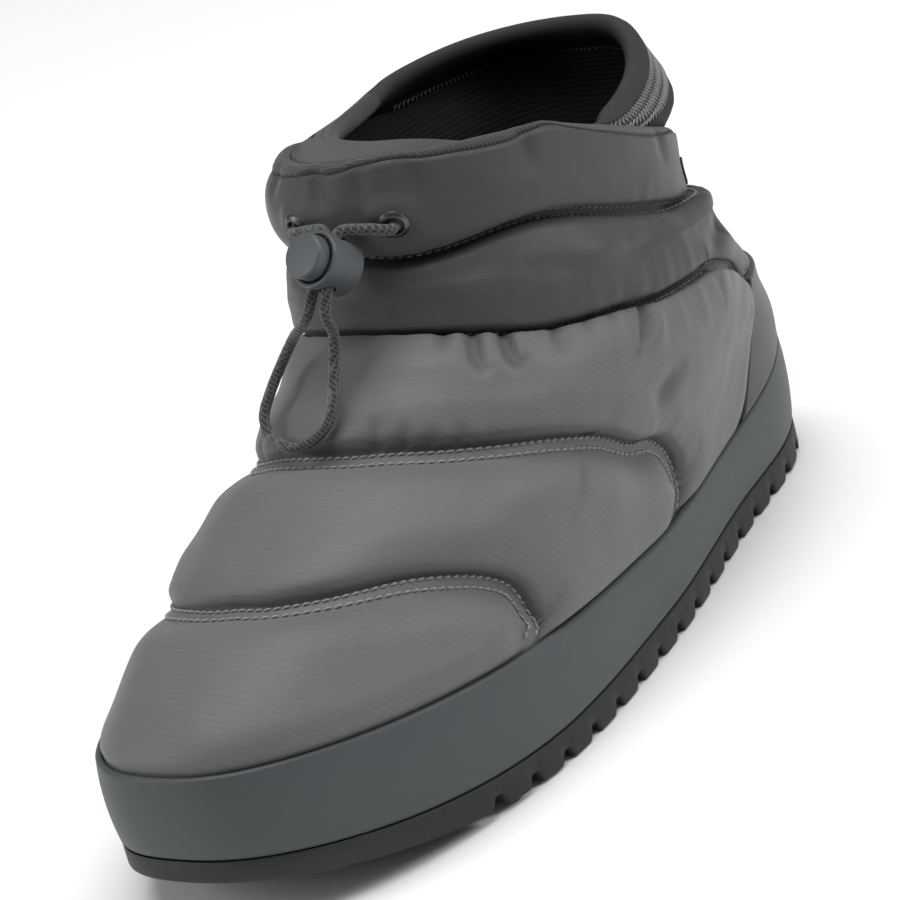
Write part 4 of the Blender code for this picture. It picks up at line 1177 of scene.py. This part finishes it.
def half_widths(x):
    """Lateral and medial half width of the sole's plan at x."""
    half = SOLE_LENGTH / 2
    along = np.clip((x - half) / (half - EDGE_INSET), -1, 1)
    power = np.where(along > 0, TOE_POWER, HEEL_POWER)
    across = (1 - np.abs(along) ** power) ** (1 / power)
    lateral = (BALL_HALF * plan_share(along, np.pi / 2) - EDGE_INSET) * across
    medial = (BALL_HALF * plan_share(along, -np.pi / 2) - EDGE_INSET) * across
    return lateral, medial


def tread_stations():
    """Places along the sole with the depth of the tread there."""
    half = SOLE_LENGTH / 2
    heel = np.linspace(*TREAD_TURNS, TREAD_HEEL_STEPS)
    toe = np.linspace(*TREAD_TURNS[::-1], TREAD_TOE_STEPS)
    stations = [(half - (half - EDGE_INSET) * math.cos(turn), 0.0) for turn in heel]
    slope = (GROOVE_TOP - GROOVE_FLOOR) / 2
    side = [*GROOVE_EDGE, (slope, GROOVE_DEPTH - GROOVE_ROUND), (slope + GROOVE_ROUND, GROOVE_DEPTH)]
    groove = side + [(GROOVE_TOP - at, depth) for at, depth in side[::-1]]
    count = int((LUG_LAST - LUG_FIRST) / LUG_PITCH) + 1
    for k in range(count):
        stations += [(LUG_FIRST + k * LUG_PITCH + at, depth) for at, depth in groove]
    last = LUG_FIRST + (count - 1) * LUG_PITCH + GROOVE_TOP + TREAD_AFTER
    stations += [(x, 0.0) for x in np.arange(last, SOLE_LENGTH - TREAD_TOE, TREAD_STEP)]
    stations += [(half + (half - EDGE_INSET) * math.cos(turn), 0.0) for turn in toe]
    return sorted(stations)


def build_outsole():
    """Tread slab lofted along the sole, with bars, grooves, a centre channel and soft edges."""
    rows = []
    for x, depth in tread_stations():
        lateral, medial = (float(w) for w in half_widths(np.array(x)))
        low = float(bottom_z(x)) + depth
        top = float(line_z(x)) - GAP / 2
        channel = CHANNEL_DEPTH if LUG_FIRST < x < LUG_LAST else 0.0
        floor = max(low, float(bottom_z(x)) + channel)
        reach = min(CHANNEL_HALF, 0.4 * medial)
        edge = min(1.0, 0.2 * medial)
        section = []
        # Each side from the top edge down the wall, then in to the floor of the channel
        for sign, wide in ((-1, medial), (1, lateral)):
            part = [(wide - 0.4 * edge, top), (wide, top - 0.4), (wide, low + min(1.0, (top - low) / 3)),
                    (wide - 0.3 * edge, low + 0.3), (wide - edge, low), (0.55 * wide, low),
                    (reach + 0.8, low), (reach, low + 0.25 * (floor - low)), (reach - 0.6 * edge, floor)]
            part = [(x, sign * across, z) for across, z in part]
            section += part if sign < 0 else part[::-1]
        rows.append(section)
    faces = capped_faces(len(rows), len(rows[0]))
    obj = mesh_object("outsole_tread", np.concatenate(rows), faces, [RUBBER])
    obj.data.set_sharp_from_angle(angle=math.radians(SHARP_TREAD))
    ride(obj, "boot", ["outsole"])


def cuff_profiles(angles):
    """Outer surface of the cuff from the rim down into the collar, with the run below the rim."""
    lateral = np.clip(np.sin(angles), 0, 1) ** 2
    rings = []
    for level, lower in CUFF_LEVELS:
        row = level - lower * lateral ** 3
        rings.append(base(angles, row) - outward(angles, row) * (WALL + CUFF_GAP))
    degrees = signed_degrees(angles)
    rim_drop, mid_drop, rim_out, mid_out = (read(CUFF_SETTLING, degrees, k) for k in range(1, 5))
    away = np.stack([np.cos(angles), np.sin(angles), np.zeros_like(angles)], -1)
    for row, dip, drop, out in ((CUFF_MID, CUFF_DIPS[0], mid_drop, mid_out),
                                (CUFF_RIM, CUFF_DIPS[1], rim_drop, rim_out)):
        down = (lateral * dip + drop)[:, None] * (0.0, 0.0, 1.0)
        rings.append(ring(angles, row) + away * out[:, None] - down)
    made = resampled(np.stack(rings).reshape(len(rings), -1), CUFF_STEPS)
    made = made.reshape(CUFF_STEPS, len(angles), 3)[::-1]
    return made, run_along(made)


def cuff_ring(profiles, below):
    """Ring of the cuff's outer surface a run below the rim (one value, or one for each column)."""
    made, run = profiles
    below = np.broadcast_to(below, run.shape[1:])
    return np.array([[np.interp(below[j], run[:, j], made[:, j, k]) for k in range(3)]
                     for j in range(run.shape[1])])


def cuff_thickness(below):
    """Thickness of the cuff a run below the rim, full in the rolled rim."""
    return CUFF_THICK + CUFF_ROLL * np.exp(-(np.asarray(below) / CUFF_ROLL_REACH) ** 2)


def build_cuff():
    """Knit sleeve: a bound rim with zigzag rows under it, and a low ribbed pad across the front."""
    angles = even_angles(CUFF_COLUMNS)
    profiles = cuff_profiles(angles)
    front = read(CUFF_FRONT, signed_degrees(angles))
    last = profiles[1][-1]
    belows = [np.full(CUFF_COLUMNS, below) for below in CUFF_NEAR]
    for share in np.linspace(0.1, 1.0, CUFF_LOWER_ROWS):
        belows.append(CUFF_NEAR[-1] + (last - CUFF_NEAR[-1]) * share)
    plain = np.stack([cuff_ring(profiles, np.minimum(below, last)) for below in belows])
    belows = np.stack(belows)
    around = np.roll(plain, -1, axis=1) - np.roll(plain, 1, axis=1)
    ahead = -np.gradient(plain, axis=0)
    normal = unit(np.cross(around, ahead))
    ahead = unit(ahead[0])
    proud = CUFF_PROUD * np.clip((CUFF_BAND - belows) / CUFF_BAND_FADE, 0, 1) * (1 - front)
    outer = plain + normal * proud[..., None]
    inner = plain - normal * cuff_thickness(belows)[..., None]
    middle = (outer[0] + inner[0]) / 2
    half = np.linalg.norm(outer[0] - inner[0], axis=-1)[:, None] / 2
    rows = list(outer[::-1])
    for turn in np.radians(CUFF_TURNS):
        rows.append(middle + half * (normal[0] * math.cos(turn) + ahead * math.sin(turn)))
    inside = len(rows)
    bound = inside + int((np.array(CUFF_NEAR) < CUFF_TURNED).sum())
    rows += list(inner)
    faces = grid_faces(len(rows), CUFF_COLUMNS, True, True)
    finish = np.zeros((len(rows), CUFF_COLUMNS), int)
    finish[:bound, front > 0.5] = 1
    finish[bound:] = 2
    finishes = [CUFF_CLOTH, KNIT, LINING]
    obj = mesh_object("cuff_sleeve", np.concatenate(rows), faces, finishes, finish.ravel())
    values = np.zeros((len(rows), CUFF_COLUMNS))
    # Painted shade: the inner half of the rolled rim and the inside face go dark, fully so a little way
    # below the rim, except on the front pad
    roll_painted_shade = np.clip(np.array(CUFF_TURNS) / 90.0 - 1.0, 0, 1) * CUFF_ROLL_PAINTED_SHADE
    values[inside - len(CUFF_TURNS):inside] = roll_painted_shade[:, None] * (1 - front)
    inside_shade_share = np.clip(belows / CUFF_PAINTED_SHADE_RUN, 0, 1)
    values[inside:] = (CUFF_ROLL_PAINTED_SHADE + (1 - CUFF_ROLL_PAINTED_SHADE) * inside_shade_share) * (1 - front)
    store_painted_shade(obj, values)
    ride(obj, "boot", ["inner_cuff"])
    rows = [zigzag_row(below, False) for below in CUFF_ZIGZAGS]
    joined("cuff_zigzag", rows, ZIGZAG, ())
    joined("cuff_zigzag_inside", [zigzag_row(CUFF_ZIGZAG_INSIDE, True)], ZIGZAG_INSIDE, ())


def zigzag_row(below, inside):
    """Zigzag thread along the standing part of the cuff, a run below the rim, outside or inside."""
    angles = np.radians(np.linspace(*ZIGZAG_SPAN, ZIGZAG_POINTS))
    profiles = cuff_profiles(angles)
    turns = np.where(np.arange(len(angles)) % 2 == 0, -ZIGZAG_HALF, ZIGZAG_HALF)
    tangent = unit(np.gradient(cuff_ring(profiles, below), axis=0))
    side = unit(np.stack([tangent[:, 1], -tangent[:, 0], np.zeros(len(angles))], -1))
    amount = -cuff_thickness(below) - ZIGZAG_STAND_INSIDE if inside else ZIGZAG_STAND
    return tube(cuff_ring(profiles, below + turns) + side * amount, ZIGZAG_RADIUS, ZIGZAG_SIDES)


def overlay(name, angles, levels, off, thick, edge, finish, node):
    """Thin piece that follows the upper, with rounded edges."""
    rows, columns = angles.shape
    points = base(angles, levels)
    normal = outward(angles, levels)
    lift = ((padding(angles, levels)[0] - points) * normal).sum(-1)
    i = np.minimum(np.arange(rows), np.arange(rows)[::-1])[:, None]
    j = np.minimum(np.arange(columns), np.arange(columns)[::-1])[None]
    row_step = np.linalg.norm(np.diff(points, axis=0), axis=-1).mean()
    column_step = np.linalg.norm(np.diff(points, axis=1), axis=-1).mean()
    fall = roll((np.minimum(i * row_step, j * column_step) + OVERLAY_RIM) / edge)
    inner = points + normal * (lift + off)[..., None]
    outer = points + normal * (lift + off + thick * fall)[..., None]
    count = rows * columns
    under = grid_faces(rows, columns, False, False)
    faces = (under + count).tolist() + under[:, ::-1].tolist()
    rim = list(range(columns))
    rim += [k * columns + columns - 1 for k in range(1, rows)]
    rim += [(rows - 1) * columns + k for k in range(columns - 2, -1, -1)]
    rim += [k * columns for k in range(rows - 2, 0, -1)]
    faces += [(a, b, count + b, count + a) for a, b in zip(rim, rim[1:] + rim[:1])]
    obj = mesh_object(name, np.concatenate([inner.reshape(-1, 3), outer.reshape(-1, 3)]), faces, [finish])
    return ride(obj, "boot", [node])


def build_counter():
    levels = np.linspace(*COUNTER_LEVELS)
    edge = counter_edge(levels)[:, None] + COUNTER_SET_BACK
    angles = np.radians(edge + (360 - 2 * edge) * np.linspace(0, 1, COUNTER_COLUMNS)[None])
    grid = np.repeat(levels[:, None], COUNTER_COLUMNS, axis=1)
    overlay("counter_panel", angles, grid, COUNTER_OFF, COUNTER_THICK, COUNTER_EDGE_ROUND, SUEDE,
            "heel_counter")


def build_label():
    angles = np.radians(np.linspace(*LABEL_ANGLES, LABEL_STEPS))
    levels = np.linspace(*LABEL_LEVELS, LABEL_STEPS)
    grid_levels, grid_angles = np.meshgrid(levels, angles, indexing="ij")
    overlay("back_tab", grid_angles, grid_levels, LABEL_OFF, LABEL_THICK, LABEL_EDGE, TAB,
            "back_label")


def frame_axes(origin, axis, side):
    z = unit(axis)
    x = unit(np.asarray(side, float) - np.dot(side, z) * z)
    return np.asarray(origin, float), x, np.cross(z, x), z


def turned(profile, sides, axes):
    """Points and faces of a profile of (radius, height) turned round an axis; ends on the axis close."""
    origin, x, y, z = axes
    turns = np.arange(sides) * 2 * np.pi / sides
    round_way = np.cos(turns)[:, None] * x + np.sin(turns)[:, None] * y
    closed = profile[0] == profile[-1]
    profile = profile[:-1] if closed else profile
    points = np.concatenate([origin + radius * round_way + height * z for radius, height in profile])
    if closed:
        return points, grid_faces(len(profile), sides, True, True).tolist()
    return points, capped_faces(len(profile), sides)


def rounded(profile, radius, steps=4):
    """Round the corners of a profile."""
    made = [profile[0]]
    for before, at, after in zip(profile, profile[1:], profile[2:]):
        a = np.array(before, float) - at
        b = np.array(after, float) - at
        la, lb = np.linalg.norm(a), np.linalg.norm(b)
        cut = min(radius, 0.45 * la, 0.45 * lb)
        start = at + a / la * cut
        end = at + b / lb * cut
        for t in np.linspace(0, 1, steps + 1):
            point = (1 - t) ** 2 * start + 2 * t * (1 - t) * np.array(at, float) + t * t * end
            made.append(tuple(point))
    made.append(profile[-1])
    return made


def build_eyelets():
    low = (EYELET_HOLE, -EYELET_SINK)
    profile = [low, (EYELET_HOLE, 0.6), (EYELET_HOLE + 0.55, EYELET_THICK),
               (EYELET_RADIUS - 0.9, 0.85 * EYELET_THICK), (EYELET_RADIUS, 0.25),
               (EYELET_RADIUS, -EYELET_SINK), low]
    profile = [low] + rounded(profile, 0.4)[1:-1] + [low]
    for side, (seat, axis, up) in EYELETS.items():
        points, faces = turned(profile, EYELET_SIDES, frame_axes(seat, axis, up))
        joined("eyelet_ring_" + side, [(points, [face[::-1] for face in faces])], METAL,
               ["eyelet_" + side])


def slot_cutter():
    """Body of the slot through the barrel, with round ends, for both strands of the cord."""
    outline = []
    for shift in (1, -1):
        for turn in np.radians(np.arange(-90, 91, 15) + (0 if shift > 0 else 180)):
            outline.append((CORD_HOLE_RADIUS * math.cos(turn) + shift * CORD_HOLE_SPREAD,
                            CORD_HOLE_RADIUS * math.sin(turn)))
    origin, x, y, z = frame_axes(CORD_HOLE, LOCK_DOWN, LOCK_SIDE)
    points = [origin + a * x + b * y + reach * z for reach in (-CUT_REACH, CUT_REACH) for a, b in outline]
    return mesh_object("slot_cutter", points, capped_faces(2, len(outline)), [PLASTIC])


def build_lock():
    axes = frame_axes(BARREL_MOUTH, LOCK_OUT, LOCK_SIDE)
    floor = BARREL_FLOOR - BARREL_LENGTH
    profile = [(ON_AXIS, -BARREL_LENGTH), (BARREL_RADIUS, -BARREL_LENGTH), (BARREL_RADIUS, 0.0),
               (BARREL_BORE, 0.0), (BARREL_BORE, floor), (ON_AXIS, floor)]
    barrel = mesh_object("lock_barrel", *turned(rounded(profile, 0.8), LOCK_SIDES, axes), [PLASTIC])
    cutter = slot_cutter()
    cut = barrel.modifiers.new("slot", "BOOLEAN")
    cut.operation = "DIFFERENCE"
    cut.object = cutter
    made = bpy.data.meshes.new_from_object(barrel.evaluated_get(bpy.context.evaluated_depsgraph_get()))
    barrel.modifiers.clear()
    barrel.data = made
    bpy.data.objects.remove(cutter, do_unlink=True)
    made.shade_smooth()
    made.set_sharp_from_angle(angle=math.radians(SHARP_LOCK))
    ride(barrel, "boot", ["cord_lock_barrel"])
    profile = [(ON_AXIS, -BUTTON_INSIDE), (BUTTON_RADIUS, -BUTTON_INSIDE), (BUTTON_RADIUS, BUTTON_PROUD),
               (ON_AXIS, BUTTON_PROUD)]
    button = mesh_object("lock_button_cap", *turned(rounded(profile, 0.9), LOCK_SIDES, axes), [PLASTIC])
    button.data.set_sharp_from_angle(angle=math.radians(SHARP_LOCK))
    ride(button, "lock_button", ["cord_lock_button"])


def cord_path():
    """Cord from the medial eyelet through the lock, round the loop and back to the lateral eyelet."""
    ends = {}
    for name, (seat, axis, _) in EYELETS.items():
        ends[name] = [np.array(seat) + np.array(axis) * reach for reach in (-CORD_BEHIND, CORD_BEFORE)]
    spread = LOCK_SIDE * CORD_HOLE_SPREAD
    route = np.array([*ends["medial"], *STRAND_MEDIAL[1:], CORD_HOLE - spread, *LOOP_ROUTE[::-1],
                      CORD_HOLE + spread, *STRAND_LATERAL[:0:-1], *ends["lateral"][::-1]])
    run = run_along(route)
    return smooth(np.arange(0, run[-1], CORD_STEP), run, route)


def braid(path, radius):
    """Round braid: plaited strands raised on the tube."""
    ahead = unit(np.gradient(path, axis=0))
    side = [unit(np.cross(ahead[0], BRAID_UP))]
    for direction in ahead[1:]:
        last = side[-1]
        side.append(unit(last - np.dot(last, direction) * direction))
    side = np.array(side)
    run = run_along(path)
    turns = np.arange(CORD_SIDES) * 2 * np.pi / CORD_SIDES
    swirl = 2 * np.pi * run[:, None] / BRAID_LAY
    strands = np.maximum(np.cos(BRAID_STRANDS * turns[None] + BRAID_STRANDS * swirl),
                         np.cos(BRAID_STRANDS * turns[None] - BRAID_STRANDS * swirl))
    radii = radius * (1 - BRAID_RAISE + BRAID_RAISE * strands)
    points = swept(path, radii, side, np.cross(ahead, side), CORD_SIDES)
    return points, capped_faces(len(path), CORD_SIDES), run[-1]


def build_cord():
    path = cord_path()
    points, faces, length = braid(path, CORD_DIAMETER / 2)
    obj = mesh_object("drawcord", points, faces, [BRAID])
    ride(obj, "boot", ["drawcord_lateral", "drawcord_medial", "drawcord_loop"])


def build_camera():
    focal = VIEW_SCALE * VIEW_DISTANCE
    shift = [(VIEW_MIDDLE - pixel) / VIEW_SCALE for pixel in VIEW_PIXEL]
    spot = VIEW_POINT + VIEW_RIGHT * shift[0] + VIEW_DOWN * shift[1] - VIEW_AHEAD * VIEW_DISTANCE
    data = bpy.data.cameras.new("camera")
    data.sensor_width = SENSOR
    data.lens = focal / (2 * VIEW_MIDDLE) * SENSOR
    data.clip_end = FAR
    camera = bpy.data.objects.new("camera", data)
    axes = np.stack([VIEW_RIGHT, -VIEW_DOWN, -VIEW_AHEAD], -1)
    matrix = Matrix([[*axes[k], 0.0] for k in range(3)] + [[0.0, 0.0, 0.0, 1.0]])
    matrix.translation = Vector(place(spot))
    camera.matrix_world = matrix
    bpy.context.scene.collection.objects.link(camera)
    bpy.context.scene.camera = camera


def area_light(name, spot, target, size, power):
    data = bpy.data.lights.new(name, "AREA")
    data.shape = "DISK"
    data.size = size
    data.energy = power
    light = bpy.data.objects.new(name, data)
    light.location = spot
    light.rotation_euler = (Vector(target) - Vector(spot)).to_track_quat("-Z", "Y").to_euler()
    bpy.context.scene.collection.objects.link(light)


def build_stage():
    scene = bpy.context.scene
    world = bpy.data.worlds.new("studio")
    world.use_nodes = True
    sky = world.node_tree.nodes["Background"].inputs
    sky["Color"].default_value = (1.0, 1.0, 1.0, 1.0)
    sky["Strength"].default_value = SKY_STRENGTH
    scene.world = world
    scene.view_settings.view_transform = "Standard"
    mesh = bpy.data.meshes.new("floor")
    corners = [(x * FLOOR_REACH, y * FLOOR_REACH, 0) for x, y in ((-1, -1), (1, -1), (1, 1), (-1, 1))]
    mesh.from_pydata(corners, [], [(0, 1, 2, 3)])
    floor = bpy.data.objects.new("floor", mesh)
    mesh.materials.append(Shade("floor_pale", (0.93, 0.93, 0.93), 0.8, 0.1).material)
    scene.collection.objects.link(floor)
    for row in LIGHTS:
        area_light(*row)


build_camera()
build_cord()
build_upper()
build_stitches()
build_midsole()
build_insole()
build_outsole()
build_cuff()
build_counter()
build_label()
build_eyelets()
build_lock()
build_stage()
